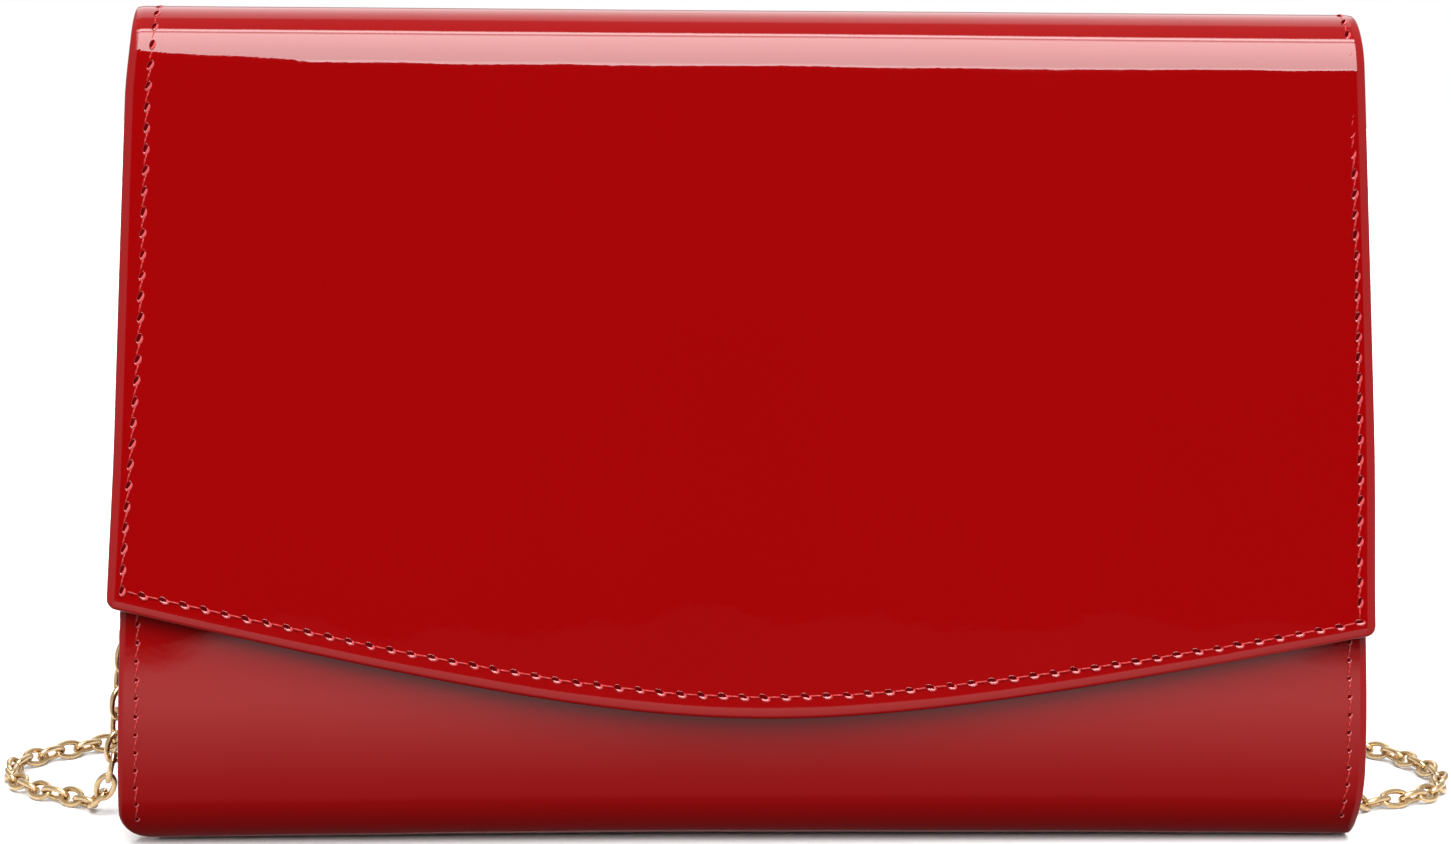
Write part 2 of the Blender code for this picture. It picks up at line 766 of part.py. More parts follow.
def make_gussets():
    front_top = FRONT.reach(GUSSET_TOP_Z, FRONT_LEAN)
    front_low = FRONT.length - FRONT_LINING_START
    back_low = SKIN.reach(GUSSET_BOTTOM_Z, BACK_CORNER)
    back_top = SKIN.reach(GUSSET_TOP_Z, BACK)
    fronts = FRONT.stations(front_top, front_low)
    backs = SKIN.stations(back_low, back_top)
    for word, side in (("left", -1), ("right", 1)):
        make_gusset_half(f"{word}_gusset_front_half", FRONT, fronts, side, -1, foot_point())
        make_gusset_half(f"{word}_gusset_back_half", SKIN, backs, side, 1)


# Magnetic snap

def snap_piece(name, profile, frame, material_name, pivot):
    smooth(place(name, turned(name, profile, BORE_SIDES, frame), material_name, pivot))


def make_snap():
    front = snap_on_front()
    outer, floor = CUP_DEPTHS
    shelf = floor - SNAP_FLOOR
    rivet = WASHER[1] + SNAP_FIT
    cup = [
        (0, shelf),
        (CUP_RADIUS - CUP_WALL, shelf),
        (CUP_RADIUS - CUP_WALL, outer),
        (CUP_RADIUS, outer),
        (CUP_RADIUS, floor),
        (STEM_RADIUS, floor),
        (STEM_RADIUS, rivet),
        (0, rivet),
    ]
    snap_piece("snap_cup", cup, front, "snap_steel", foot_point())
    ring = bush(MAGNET_HOLE_RADIUS, CUP_RADIUS - CUP_WALL - GAP, outer, shelf - GAP)
    snap_piece("snap_magnet", ring, front, "magnet_dark", foot_point())
    back = bush(STEM_HOLE_RADIUS, SNAP_WASHER_RADIUS, *WASHER)
    snap_piece("snap_cup_washer", back, front, "snap_steel", foot_point())

    flap = snap_on_flap()
    pivot = crease_point(FRONT_ROLL_RADIUS, -1)
    stem_end = FLAP_BOARD[0] + SNAP_FIT
    near, far = STUD_PLATE
    stud = [
        (0, stem_end),
        (STEM_RADIUS, stem_end),
        (STEM_RADIUS, near),
        (CUP_RADIUS, near),
        (CUP_RADIUS, far),
        (BOSS_RADIUS, far),
        (BOSS_RADIUS, far + BOSS_LENGTH),
        (0, far + BOSS_LENGTH),
    ]
    snap_piece("snap_stud", stud, flap, "snap_steel", pivot)
    hold = bush(STEM_HOLE_RADIUS, STUD_WASHER_RADIUS, stem_end, FLAP_BOARD[1] - 2 * SNAP_FIT)
    snap_piece("snap_stud_washer", hold, flap, "snap_steel", pivot)


# Rings and snap hooks

def ring_frame(side):
    """Origin on the ring's upright bar, X to the outside."""
    s = SKIN.reach(RING_Z, BACK)
    (y, z), _ = SKIN.at(s, LINING[1] + TAB_OFF_LINING + TAB_OUTER_RADIUS)
    return Matrix.Translation((side * RING_X, y, z)) @ Matrix.Diagonal((side, 1, 1, 1))


def make_ring(word, side):
    frame = ring_frame(side)
    bow = [(RING_STRAIGHT + RING_HALF_BAR * cos(a), RING_HALF_BAR * sin(a))
           for a in [pi / 2 - pi * k / 10 for k in range(11)]]
    corner = RING_WIRE * 0.7
    outline = [(corner, RING_HALF_BAR), *bow, (corner, -RING_HALF_BAR), (0, corner - RING_HALF_BAR),
               (0, 0), (0, RING_HALF_BAR - corner)]
    points = [frame @ Vector((x, 0, z)) for x, z in outline]
    mesh = tube_mesh(f"{word}_strap_ring", points, RING_WIRE, cyclic=True)
    ring = place(f"{word}_strap_ring", mesh, "pale_gold", frame.translation)
    smooth(ring, radians(50))
    make_tab(word, frame)


def make_tab(word, frame):
    """A folded strap of leather round the bar, its tongue flat on the lining."""
    name = f"{word}_ring_tab"
    low = -TAB_HALF_HEIGHT
    high = TAB_HALF_HEIGHT
    loop = turned(name, rod(TAB_OUTER_RADIUS, low, high), SMALL_SIDES * 2, frame)
    tab = place(name, loop, "patent_red_edge")
    near = (-TAB_LENGTH, TAB_OUTER_RADIUS - TAB_THICKNESS, low + GAP)
    far = (0, TAB_OUTER_RADIUS - GAP / 4, high - GAP)
    tongue = cutter(f"{name}_tongue", block_mesh(f"{name}_tongue", near, far, frame))
    boolean(tab, tongue, "UNION")
    bore = turned(f"{name}_bore", rod(TAB_INNER_RADIUS, 2 * low, 2 * high), SMALL_SIDES * 2, frame)
    boolean(tab, cutter(f"{name}_bore", bore))


def hook_frame(side):
    """Origin in the middle of the hook's eye, hanging straight down from the ring's lower side."""
    ring = ring_frame(side) @ Vector((HOOK_X - RING_X, 0, -RING_HALF_BAR))
    return Matrix.Translation((ring.x, ring.y, ring.z - RING_IN_HOOK))


def make_hook(word, side):
    frame = hook_frame(side)
    pivot = ring_frame(side).translation
    name = f"{word}_snap_hook"
    body = turned(name, rod(BARREL_RADIUS, BARREL_BOTTOM, BARREL_TOP), SMALL_SIDES, frame)
    barrel = place(name, body, "pale_gold", pivot)
    half_turn = [pi * k / 9 for k in range(10)]
    arc = [(-HOOK_RADIUS * cos(a), HOOK_RADIUS * sin(a)) for a in half_turn]
    line = [*HOOK_NECK, *arc, (HOOK_RADIUS, HOOK_TIP_Z)]
    points = [frame @ Vector((0, y, z)) for y, z in line]
    boolean(barrel, cutter(f"{name}_bow", tube_mesh(f"{name}_bow", points, HOOK_WIRE)), "UNION")

    slot_low = (-GATE_SLOT_HALF, GATE_SLOT_Y[0], GATE_SLOT_Z[0])
    slot_high = (GATE_SLOT_HALF, GATE_SLOT_Y[1], GATE_SLOT_Z[1])
    boolean(barrel, cutter(f"{name}_slot", block_mesh(f"{name}_slot", slot_low, slot_high, frame)))
    window_low = (-WINDOW_REACH, -WINDOW_HALF, WINDOW[0])
    window_high = (WINDOW_REACH, WINDOW_HALF, WINDOW[1])
    boolean(barrel, cutter(f"{name}_window", block_mesh(f"{name}_window", window_low, window_high, frame)))
    bore = turned(f"{name}_bore", rod(POST_HOLE_RADIUS, *POST_CUT), SMALL_SIDES, frame)
    boolean(barrel, cutter(f"{name}_bore", bore))

    across = frame @ Matrix.Translation((0, *PIN_AT)) @ Matrix.Rotation(pi / 2, 4, "Y")
    pin_hole = turned(f"{name}_pin_hole", rod(PIN_HOLE_RADIUS, -PIN_CUT, PIN_CUT), SMALL_SIDES, across)
    boolean(barrel, cutter(f"{name}_pin_hole", pin_hole))
    pin_rod = rod(PIN_RADIUS, -PIN_HALF_LENGTH, PIN_HALF_LENGTH)
    pin = turned(f"{word}_gate_pin", pin_rod, SMALL_SIDES, across)
    place(f"{word}_gate_pin", pin, "snap_steel", pivot)
    make_gate(word, frame, across)
    make_swivel(word, frame)


def make_gate(word, frame, across):
    """The sprung lever that closes the hook, turning on the pin."""
    name = f"{word}_hook_gate"
    bm = bmesh.new()
    low = [bm.verts.new((-GATE_HALF_THICKNESS, y, z)) for y, z in GATE_OUTLINE]
    face = bm.faces.new(low)
    grown = bmesh.ops.extrude_face_region(bm, geom=[face])
    verts = [v for v in grown["geom"] if isinstance(v, bmesh.types.BMVert)]
    bmesh.ops.translate(bm, vec=(2 * GATE_HALF_THICKNESS, 0, 0), verts=verts)
    bm.transform(frame)
    gate = place(name, finish_mesh(name, bm), "pale_gold", across.translation)
    hole = turned(f"{name}_hole", rod(PIN_HOLE_RADIUS, -PIN_CUT, PIN_CUT), SMALL_SIDES, across)
    boolean(gate, cutter(f"{name}_hole", hole))


def make_swivel(word, frame):
    """The headed post that turns in the hook's barrel, with the chain's first link in its eye."""
    pivot = frame.translation
    name = f"{word}_hook_swivel"
    low, high = POST_HEAD
    eye_top = EYE_Z + EYE_RADIUS
    post_end = eye_top - SNAP_FIT
    profile = [
        (0, post_end),
        (POST_RADIUS, post_end),
        (POST_RADIUS, low),
        (POST_HEAD_RADIUS, low),
        (POST_HEAD_RADIUS, high),
        (0, high),
    ]
    swivel = place(name, turned(name, profile, SMALL_SIDES, frame), "pale_gold", pivot)
    ring_angles = [2 * pi * (k + 0.5) / RING_SIDES for k in range(RING_SIDES)]
    circle = [frame @ Vector((0, EYE_RADIUS * cos(a), EYE_Z + EYE_RADIUS * sin(a))) for a in ring_angles]
    boolean(swivel, cutter(f"{name}_eye", tube_mesh(f"{name}_eye", circle, EYE_WIRE, cyclic=True)), "UNION")
    straight = LINK_HALF_LENGTH - LINK_HALF_WIDTH
    link = []
    for a in ring_angles:
        shift = straight if sin(a) > 0 else -straight
        height = LINK_Z + shift + LINK_HALF_WIDTH * sin(a)
        link.append(frame @ Vector((LINK_HALF_WIDTH * cos(a), 0, height)))
    mesh = tube_mesh(f"{word}_first_link", link, LINK_WIRE, cyclic=True)
    smooth(place(f"{word}_first_link", mesh, "pale_gold", pivot), radians(50))


def make_strap_fittings():
    for word, side in (("left", -1), ("right", 1)):
        make_ring(word, side)
        make_hook(word, side)


# Chain strap

def make_chain():
    tube("left_strap_chain", smooth_route(LEFT_ROUTE, CHAIN_STEP), CHAIN_RADIUS, "pale_gold")
    tube("right_strap_chain", smooth_route(RIGHT_ROUTE, CHAIN_STEP), CHAIN_RADIUS, "pale_gold")
    profile = [
        (COIL_INNER_RADIUS, GAP),
        (COIL_OUTER_RADIUS - COIL_EDGE, GAP),
        (COIL_OUTER_RADIUS, GAP + COIL_EDGE),
        (COIL_OUTER_RADIUS, COIL_HEIGHT - COIL_EDGE),
        (COIL_OUTER_RADIUS - COIL_EDGE, COIL_HEIGHT),
        (COIL_INNER_RADIUS, COIL_HEIGHT),
    ]
    place_at = Matrix.Translation((*COIL_CENTRE, 0))
    coil = turned("strap_chain_coil", profile, COIL_SIDES, place_at)
    smooth(place("strap_chain_coil", coil, "pale_gold"))


# Seams

def seam(name, rule, count):
    """One row of stitching, as its thread lies along the seam."""
    tube(name, [rule(k / count) for k in range(count + 1)], THREAD_RADIUS, "thread_red", resolution=1)


def side_rule(path, s0, s1, side):
    """A seam along one side of the body, from s0 to s1 of a path."""
    def rule(t):
        s = s0 + (s1 - s0) * t
        (y, z), _ = path.at(s, THREAD_LIFT)
        return side * (body_half(path.at(s)[0][1]) - SEAM_INSET), y, z
    return rule


def make_seams():
    front_low = FRONT.length - HEM_WIDTH
    back_low = SKIN.start_of(BACK_BULGE)
    back_high = SKIN.reach(GUSSET_TOP_Z, BACK)
    for word, side in (("left", -1), ("right", 1)):
        seam(f"front_seam_thread_{word}", side_rule(FRONT, SEAM_START, front_low, side), SIDE_SEAM_STEPS)
        seam(f"back_seam_thread_{word}", side_rule(SKIN, back_low, back_high, side), SIDE_SEAM_STEPS)
    make_flap_seam()


def make_flap_seam():
    """The flap's stitching: down the left side, along the shaped edge and up the right side."""
    half = POINT_SPAN - SEAM_INSET
    top = FRONT_CREASE_S + HEM_WIDTH / 2

    def edge(x):
        return SKIN.reach(flap_edge_z(x) + SEAM_RISE, FLAP)

    def beside(s, side):
        return side * (flap_half(SKIN.at(s)[0][1]) - SEAM_INSET), s

    along = [-half + 2 * half * k / EDGE_SEAM_STEPS for k in range(1, EDGE_SEAM_STEPS)]
    places = [beside(s, -1) for s in SKIN.stations(top, edge(-half))]
    places += [(x, edge(x)) for x in along]
    places += [beside(s, 1) for s in reversed(SKIN.stations(top, edge(half)))]
    points = []
    for x, s in places:
        (y, z), _ = SKIN.at(s, THREAD_LIFT)
        points.append((x, y, z))
    tube("flap_seam_thread", points, THREAD_RADIUS, "thread_red", resolution=1)


def main():
    clear_scene()
    make_shell()
    make_pocket()
    make_front()
    make_gussets()
    make_spine()
    make_flap()
    make_snap()
    make_strap_fittings()
    make_chain()
    make_seams()


main()
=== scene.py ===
"""The looks of the patent clutch purse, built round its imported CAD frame.

Metres, +Z up, the front faces -Y. The leather panels follow the same side profile as the CAD model.
"""

import random
from math import atan2, ceil, cos, exp, hypot, pi, radians, sin, tau

import bmesh
import bpy
from mathutils import Matrix, Vector
from mathutils.geometry import interpolate_bezier


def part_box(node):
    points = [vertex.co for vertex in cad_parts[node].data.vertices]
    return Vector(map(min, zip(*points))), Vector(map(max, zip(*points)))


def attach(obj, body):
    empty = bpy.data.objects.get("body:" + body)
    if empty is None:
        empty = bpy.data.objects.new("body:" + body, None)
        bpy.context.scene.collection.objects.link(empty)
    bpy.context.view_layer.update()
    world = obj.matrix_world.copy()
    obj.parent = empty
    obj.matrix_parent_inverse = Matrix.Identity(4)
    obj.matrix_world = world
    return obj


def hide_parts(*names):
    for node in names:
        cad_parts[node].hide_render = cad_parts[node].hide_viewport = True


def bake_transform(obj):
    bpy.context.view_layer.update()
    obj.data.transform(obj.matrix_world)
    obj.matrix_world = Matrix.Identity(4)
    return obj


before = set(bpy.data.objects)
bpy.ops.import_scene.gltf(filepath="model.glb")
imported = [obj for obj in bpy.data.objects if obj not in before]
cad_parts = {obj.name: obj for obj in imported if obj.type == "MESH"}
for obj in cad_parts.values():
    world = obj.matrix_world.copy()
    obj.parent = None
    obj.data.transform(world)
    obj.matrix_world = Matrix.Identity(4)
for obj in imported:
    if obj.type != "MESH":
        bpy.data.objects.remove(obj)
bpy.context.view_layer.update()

# ---- driving sizes, as in the CAD source
FLAP_HALF_WIDTH = 0.1271
BODY_HALF_WIDTH = 0.1255
TAPER = 0.030
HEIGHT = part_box("spine_leather")[1].z
LEAN_TOP = radians(8.4)
LEAN_LOW = radians(5.0)
TUCK = radians(12)
CORNER_RADIUS = 0.0140
BULGE_RADIUS = 0.088
REAR_ROLL_RADIUS = 0.009
FRONT_ROLL_RADIUS = 0.012
BASE_CORNER_RADIUS = 0.008
RIGHT_CORNER_IN = 0.0010
RIGHT_CORNER_LOW, RIGHT_CORNER_HIGH = 0.0020, 0.0160
FRONT_OFFSET = 0.0044
FLAP_LOWEST_Z = 0.018
FLAP_TURN = radians(3.7)
FRONT_TOP_DROP = 0.0035
POINT_Z = 0.0286
POINT_RISE = 0.0188
POINT_ROUNDNESS = 0.42
POINT_SPAN = 0.125
FLAP_SKEW = 0.0218
FLAP_SHIFT = 0.0006
FLAP_END_IN = 0.0006
FRONT_SHIFT = 0.0006
GUSSET_MIDDLE = 0.0018
GUSSET_TOP_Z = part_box("left_gusset_back_half")[1].z
GUSSET_BOTTOM_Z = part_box("left_gusset_back_half")[0].z
FLANGE_WIDTH = 0.0074
FLANGE_INSET = 0.0006
WEB_AT_BOTTOM = 0.024
WEB_AT_TOP = 0.015
LINING_INSET = 0.014
SEAM_INSET = 0.0036


# ---- side profile

class Path:
    """A curve in the YZ plane, walked as arcs and straight runs, with its inside on the left."""

    def __init__(self, start, heading, pieces):
        self.pieces = []
        s = 0.0
        point = start
        for length, turn in pieces:
            self.pieces.append((s, length, point, heading, turn))
            point, heading = self.walk(point, heading, length, turn, length)
            s += length
        self.length = s
        self.end = point

    @staticmethod
    def walk(point, heading, length, turn, t):
        y, z = point
        if abs(turn) < 1e-9:
            return (y + t * cos(heading), z + t * sin(heading)), heading
        radius = length / turn
        ahead = heading + t / radius
        return (y + radius * (sin(ahead) - sin(heading)), z + radius * (cos(heading) - cos(ahead))), ahead

    def at(self, s, depth=0.0):
        """The point at s along the curve and a depth to its left, and the heading there."""
        on = self.pieces[0]
        for piece in self.pieces:
            if piece[0] <= s + 1e-12:
                on = piece
        start, length, point, heading, turn = on
        (y, z), ahead = self.walk(point, heading, length, turn, s - start)
        return (y - depth * sin(ahead), z + depth * cos(ahead)), ahead

    def start_of(self, piece):
        return self.pieces[piece][0]

    def reach(self, z, piece, depth=0.0):
        """The s at which one piece of the curve passes height z."""
        low = self.pieces[piece][0]
        high = low + self.pieces[piece][1]
        rising = self.at(high - 1e-9, depth)[0][1] > self.at(low, depth)[0][1]
        for _ in range(40):
            middle = (low + high) / 2
            if (self.at(middle, depth)[0][1] < z) == rising:
                low = middle
            else:
                high = middle
        return (low + high) / 2


def run_for_rise(rise, heading, turn):
    """The length of an arc that starts at heading, turns by turn and climbs by rise."""
    return rise * turn / (cos(heading) - cos(heading + turn))


FRONT_CORNER, BASE, BACK_CORNER, BACK_BULGE, BACK, REAR_ROLL, FRONT_ROLL, FLAP = range(8)
FRONT_LEAN, FRONT_BULGE = range(2)
UP = pi / 2
DOWN = 3 * pi / 2
CORNER_TURN = pi / 2 - TUCK
BULGE_TURN = TUCK + LEAN_LOW
PANEL_TURN = LEAN_TOP - LEAN_LOW
ROLL_TURN = pi / 2 - LEAN_TOP
FOOT_Z = CORNER_RADIUS * (1 - sin(TUCK))
BULGE_TOP_Z = FOOT_Z + BULGE_RADIUS * (sin(TUCK) + sin(LEAN_LOW))


def skin_path(start_y, base_run):
    back_rise = HEIGHT - REAR_ROLL_RADIUS * (1 - sin(LEAN_TOP)) - BULGE_TOP_Z
    flap_fall = HEIGHT - FRONT_ROLL_RADIUS * (1 - sin(LEAN_TOP)) - FLAP_LOWEST_Z
    pieces = [
        (CORNER_RADIUS * CORNER_TURN, CORNER_TURN),
        (base_run, 0.0),
        (CORNER_RADIUS * CORNER_TURN, CORNER_TURN),
        (BULGE_RADIUS * BULGE_TURN, BULGE_TURN),
        (run_for_rise(back_rise, UP + LEAN_LOW, PANEL_TURN), PANEL_TURN),
        (REAR_ROLL_RADIUS * ROLL_TURN, ROLL_TURN),
        (FRONT_ROLL_RADIUS * ROLL_TURN, ROLL_TURN),
        (run_for_rise(-flap_fall, DOWN - LEAN_TOP, FLAP_TURN), FLAP_TURN),
    ]
    return Path((start_y, FOOT_Z), TUCK - pi / 2, pieces)


def front_path(skin):
    """The front panel's face, which follows the flap and then tucks under to the skin's start."""
    start, heading = skin.at(skin.start_of(FLAP) + FRONT_TOP_DROP, FRONT_OFFSET)
    turn = DOWN - LEAN_LOW - heading
    lean = run_for_rise(BULGE_TOP_Z - start[1], heading, turn)
    return Path(start, heading, [(lean, turn), (BULGE_RADIUS * BULGE_TURN, BULGE_TURN)])


def fitted_paths():
    """The two paths, with the base as wide as closes the loop and the purse centred on Y."""
    base_run = -front_path(skin_path(0.0, 0.0)).end[0]
    loose = skin_path(0.0, base_run)
    rear = max(loose.at(loose.length * k / 2000)[0][0] for k in range(2001))
    skin = skin_path(-(rear + loose.end[0]) / 2, base_run)
    return skin, front_path(skin)


SKIN, FRONT = fitted_paths()
FOOT_S, BASE_S, BACK_CORNER_S, BULGE_S, BACK_S, REAR_ROLL_S, CREST_S, FLAP_S = (p[0] for p in SKIN.pieces)
FRONT_BULGE_S = FRONT.start_of(FRONT_BULGE)
REAR_CREASE_S = CREST_S - REAR_ROLL_RADIUS * pi / 4
FRONT_CREASE_S = CREST_S + FRONT_ROLL_RADIUS * pi / 4
JOIN_S = CREST_S - 0.0012


def place_at(path, s, x=0.0, depth=0.0):
    """The place s along a path, a depth inside it and x from the purse's middle."""
    (y, z), _ = path.at(s, depth)
    return Vector((x, y, z))


def body_half(z, right=False):
    """Half the body's width; its left lower corner is rounded and its right one drawn in more gently."""
    if right:
        corner = RIGHT_CORNER_IN * (1 - smoothstep(RIGHT_CORNER_LOW, RIGHT_CORNER_HIGH, z))
    else:
        radius = BASE_CORNER_RADIUS
        left = min(max(0.0, radius - z), radius * 0.995)
        corner = radius - (radius ** 2 - left ** 2) ** 0.5
    return BODY_HALF_WIDTH - TAPER * z - corner


def flap_half(z):
    return FLAP_HALF_WIDTH - TAPER * z


def flap_shift(z, side):
    """The upper flap sits a little to the right, and its left end is drawn in where it rolls over."""
    drawn_in = FLAP_END_IN * smoothstep(0.150, 0.162, z) if side < 0 else 0.0
    return FLAP_SHIFT * smoothstep(0.045, 0.085, z) + drawn_in


def smoothstep(a, b, x):
    t = min(max((x - a) / (b - a), 0.0), 1.0)
    return t * t * (3 - 2 * t)


def lining_half(z):
    return BODY_HALF_WIDTH - TAPER * z - LINING_INSET


def flap_edge_z(x):
    """Height of the flap's lower edge: a rounded point, with the whole edge slightly askew."""
    rise = hypot(x / POINT_SPAN, POINT_ROUNDNESS) - POINT_ROUNDNESS
    return POINT_Z + POINT_RISE * rise / (hypot(1, POINT_ROUNDNESS) - POINT_ROUNDNESS) - FLAP_SKEW * x


# ---- node materials

def dress(tree, made, inputs):
    """Sets a node's inputs to values, or links them to other nodes' outputs."""
    for key, value in inputs.items():
        if isinstance(value, bpy.types.NodeSocket):
            tree.links.new(value, made.inputs[key])
        else:
            made.inputs[key].default_value = value


def add_node(tree, kind, inputs, **settings):
    made = tree.nodes.new(kind)
    for key, value in settings.items():
        setattr(made, key, value)
    dress(tree, made, inputs)
    return made


def maths(tree, operation, *values):
    return add_node(tree, "ShaderNodeMath", dict(enumerate(values)), operation=operation).outputs[0]


def positions(tree):
    """Places in the frame's metres."""
    return tree.nodes.new("ShaderNodeTexCoord").outputs["Object"]


def noise(tree, where, scale, detail=2.0, roughness=0.5):
    inputs = {"Vector": where, "Scale": scale, "Detail": detail, "Roughness": roughness}
    return add_node(tree, "ShaderNodeTexNoise", inputs).outputs["Fac"]


def ramp(tree, share, stops):
    made = add_node(tree, "ShaderNodeValToRGB", {"Fac": share})
    elements = made.color_ramp.elements
    while len(elements) < len(stops):
        elements.new(0.5)
    for element, (position, colour) in zip(elements, stops):
        element.position = position
        element.color = (*colour, 1)
    return made.outputs["Color"]


def to_range(tree, value, low, high, reach=(0.3, 0.7), kind="LINEAR"):
    """Goes from low to high as the value crosses its reach, which is a noise's usual one if not given."""
    inputs = {"Value": value, "From Min": reach[0], "From Max": reach[1], "To Min": low, "To Max": high}
    return add_node(tree, "ShaderNodeMapRange", inputs, interpolation_type=kind).outputs["Result"]


def bump(tree, height, distance, after=None):
    inputs = {"Height": height, "Distance": distance, "Strength": 1.0}
    if after is not None:
        inputs["Normal"] = after
    return add_node(tree, "ShaderNodeBump", inputs).outputs["Normal"]


def new_material(name):
    made = bpy.data.materials.new(name)
    made.use_nodes = True
    tree = made.node_tree
    return made, tree, positions(tree)


def dress_shader(tree, inputs):
    dress(tree, tree.nodes["Principled BSDF"], inputs)


def patent(name, colour, dark, roughness=0.45, coat=1.0, peel=0.000002):
    """Red leather under a clear glossy film, with the film's faint orange peel."""
    made, tree, where = new_material(name)
    fine = bump(tree, noise(tree, where, 900), peel)
    dress_shader(tree, {
        "Base Color": ramp(tree, noise(tree, where, 14, 3), [(0.3, dark), (0.7, colour)]),
        "Roughness": to_range(tree, noise(tree, where, 60, 4), roughness - 0.06, roughness + 0.06),
        "Specular IOR Level": 0.0,
        "Coat Weight": coat,
        "Coat Roughness": 0.022,
        "Coat IOR": 1.4,
        "Coat Normal": bump(tree, noise(tree, where, 170), peel * 4, fine),
        "Normal": fine,
    })
    return made


def gold(name, colour, scuffed, roughness=0.16):
    """Plated metal, a little duller where it rubs."""
    made, tree, where = new_material(name)
    wear = noise(tree, where, 420, 5, 0.6)
    dress_shader(tree, {
        "Base Color": ramp(tree, wear, [(0.35, colour), (0.75, scuffed)]),
        "Roughness": to_range(tree, wear, roughness - 0.05, roughness + 0.12),
        "Metallic": 1.0,
        "Normal": bump(tree, noise(tree, where, 1500, 3), 0.00001),
    })
    return made


# The wave texture makes a thread every 0.9 mm at this scale
WEAVE_SCALE = 2200 / 6.3


def woven(name, light, dark):
    """Cloth of two crossing sets of threads, in metres so that the weave keeps its size."""
    made, tree, where = new_material(name)
    threads = []
    for turn in (radians(38), radians(-52)):
        turned = add_node(tree, "ShaderNodeMapping", {"Vector": where, "Rotation": (0, turn, 0)})
        inputs = {"Vector": turned.outputs["Vector"], "Scale": WEAVE_SCALE, "Distortion": 0.6}
        threads.append(add_node(tree, "ShaderNodeTexWave", inputs).outputs["Fac"])
    weave = maths(tree, "MULTIPLY", *threads)
    uneven = maths(tree, "MULTIPLY_ADD", noise(tree, where, 60, 4), 0.3, weave)
    dress_shader(tree, {
        "Base Color": ramp(tree, uneven, [(0.1, dark), (0.8, light)]),
        "Roughness": to_range(tree, noise(tree, where, 80, 3), 0.7, 0.9),
        "Specular IOR Level": 0.12,
        "Sheen Weight": 0.04,
        "Sheen Roughness": 0.4,
        "Normal": bump(tree, weave, 0.00012),
    })
    return made


def yarn(name, light, dark):
    """Twisted sewing thread."""
    made, tree, where = new_material(name)
    inputs = {"Vector": where, "Scale": 420, "Distortion": 1.5}
    twist = add_node(tree, "ShaderNodeTexWave", inputs, bands_direction="DIAGONAL").outputs["Fac"]
    dress_shader(tree, {
        "Base Color": ramp(tree, twist, [(0.2, dark), (0.8, light)]),
        "Roughness": to_range(tree, noise(tree, where, 700), 0.4, 0.6),
        "Specular IOR Level": 0.35,
        "Sheen Weight": 0.05,
        "Normal": bump(tree, twist, 0.00008),
    })
    return made


def plain_noise(name, light, dark, roughness, metallic=0.0, scale=300, height=0.00002, shine=0.5):
    made, tree, where = new_material(name)
    grain = noise(tree, where, scale, 4)
    dress_shader(tree, {
        "Base Color": ramp(tree, grain, [(0.3, dark), (0.7, light)]),
        "Roughness": to_range(tree, grain, roughness - 0.06, roughness + 0.08),
        "Metallic": metallic,
        "Specular IOR Level": shine,
        "Normal": bump(tree, grain, height),
    })
    return made


PATENT = patent("patent_red", (0.174, 0.0009, 0.0012), (0.168, 0.0008, 0.0011))
PATENT_BACKED = patent("patent_red_inside", (0.20, 0.0016, 0.0024), (0.17, 0.0012, 0.0018), 0.5, 0.9)
BINDING = patent("binding_red", (0.16, 0.004, 0.005), (0.13, 0.003, 0.004), 0.5, 0.6, 0.00002)
# Paler red for the lip faces turned toward LIGHT_SIDE: a painted highlight crescent.
LIP_PAINTED_HIGHLIGHT = patent("patent_red_painted_highlight", (0.42, 0.060, 0.064), (0.34, 0.035, 0.040))
# Dark red for a flat disc across each needle hole: painted shade standing in for the hole's shaded inside.
HOLE_PAINTED_SHADE = plain_noise("needle_hole_painted_shade", (0.070, 0.0012, 0.0018), (0.040, 0.0006, 0.0009), 0.7, shine=0.0)
THREAD = yarn("thread_red", (0.40, 0.011, 0.013), (0.24, 0.005, 0.006))
LINING = woven("lining_twill", (0.17, 0.012, 0.016), (0.060, 0.004, 0.006))
GOLD = gold("pale_gold", (0.60, 0.42, 0.21), (0.46, 0.31, 0.15))
CHAIN_GOLD = gold("chain_pale_gold", (0.64, 0.46, 0.26), (0.44, 0.30, 0.15), 0.24)
STEEL = plain_noise("snap_steel", (0.66, 0.64, 0.60), (0.48, 0.46, 0.43), 0.28, 1.0, 500)
MAGNET = plain_noise("magnet_dark", (0.07, 0.07, 0.075), (0.03, 0.03, 0.035), 0.5, 0.9, 900)


# ---- mesh helpers

SHARP = radians(50)


def new_object(name, bm, materials):
    bmesh.ops.remove_doubles(bm, verts=bm.verts, dist=1e-7)
    bmesh.ops.dissolve_degenerate(bm, edges=bm.edges, dist=1e-7)
    bmesh.ops.recalc_face_normals(bm, faces=bm.faces)
    for edge in bm.edges:
        edge.smooth = edge.calc_face_angle(0.0) < SHARP
    mesh = bpy.data.meshes.new(name)
    bm.to_mesh(mesh)
    bm.free()
    for made in materials:
        mesh.materials.append(made)
    mesh.polygons.foreach_set("use_smooth", [True] * len(mesh.polygons))
    obj = bpy.data.objects.new(name, mesh)
    bpy.context.scene.collection.objects.link(obj)
    return obj


def spread(a, b, step):
    """Values from a to b, no further apart than step."""
    count = max(1, ceil(abs(b - a) / step - 1e-9))
    return [a + (b - a) * k / count for k in range(count + 1)]


def chain_of(*runs):
    """Runs of values joined end to end, each (a, b, step)."""
    found = []
    for a, b, step in runs:
        values = spread(a, b, step)
        found += values if not found else values[1:]
    return found


CORNER_STEPS = 6

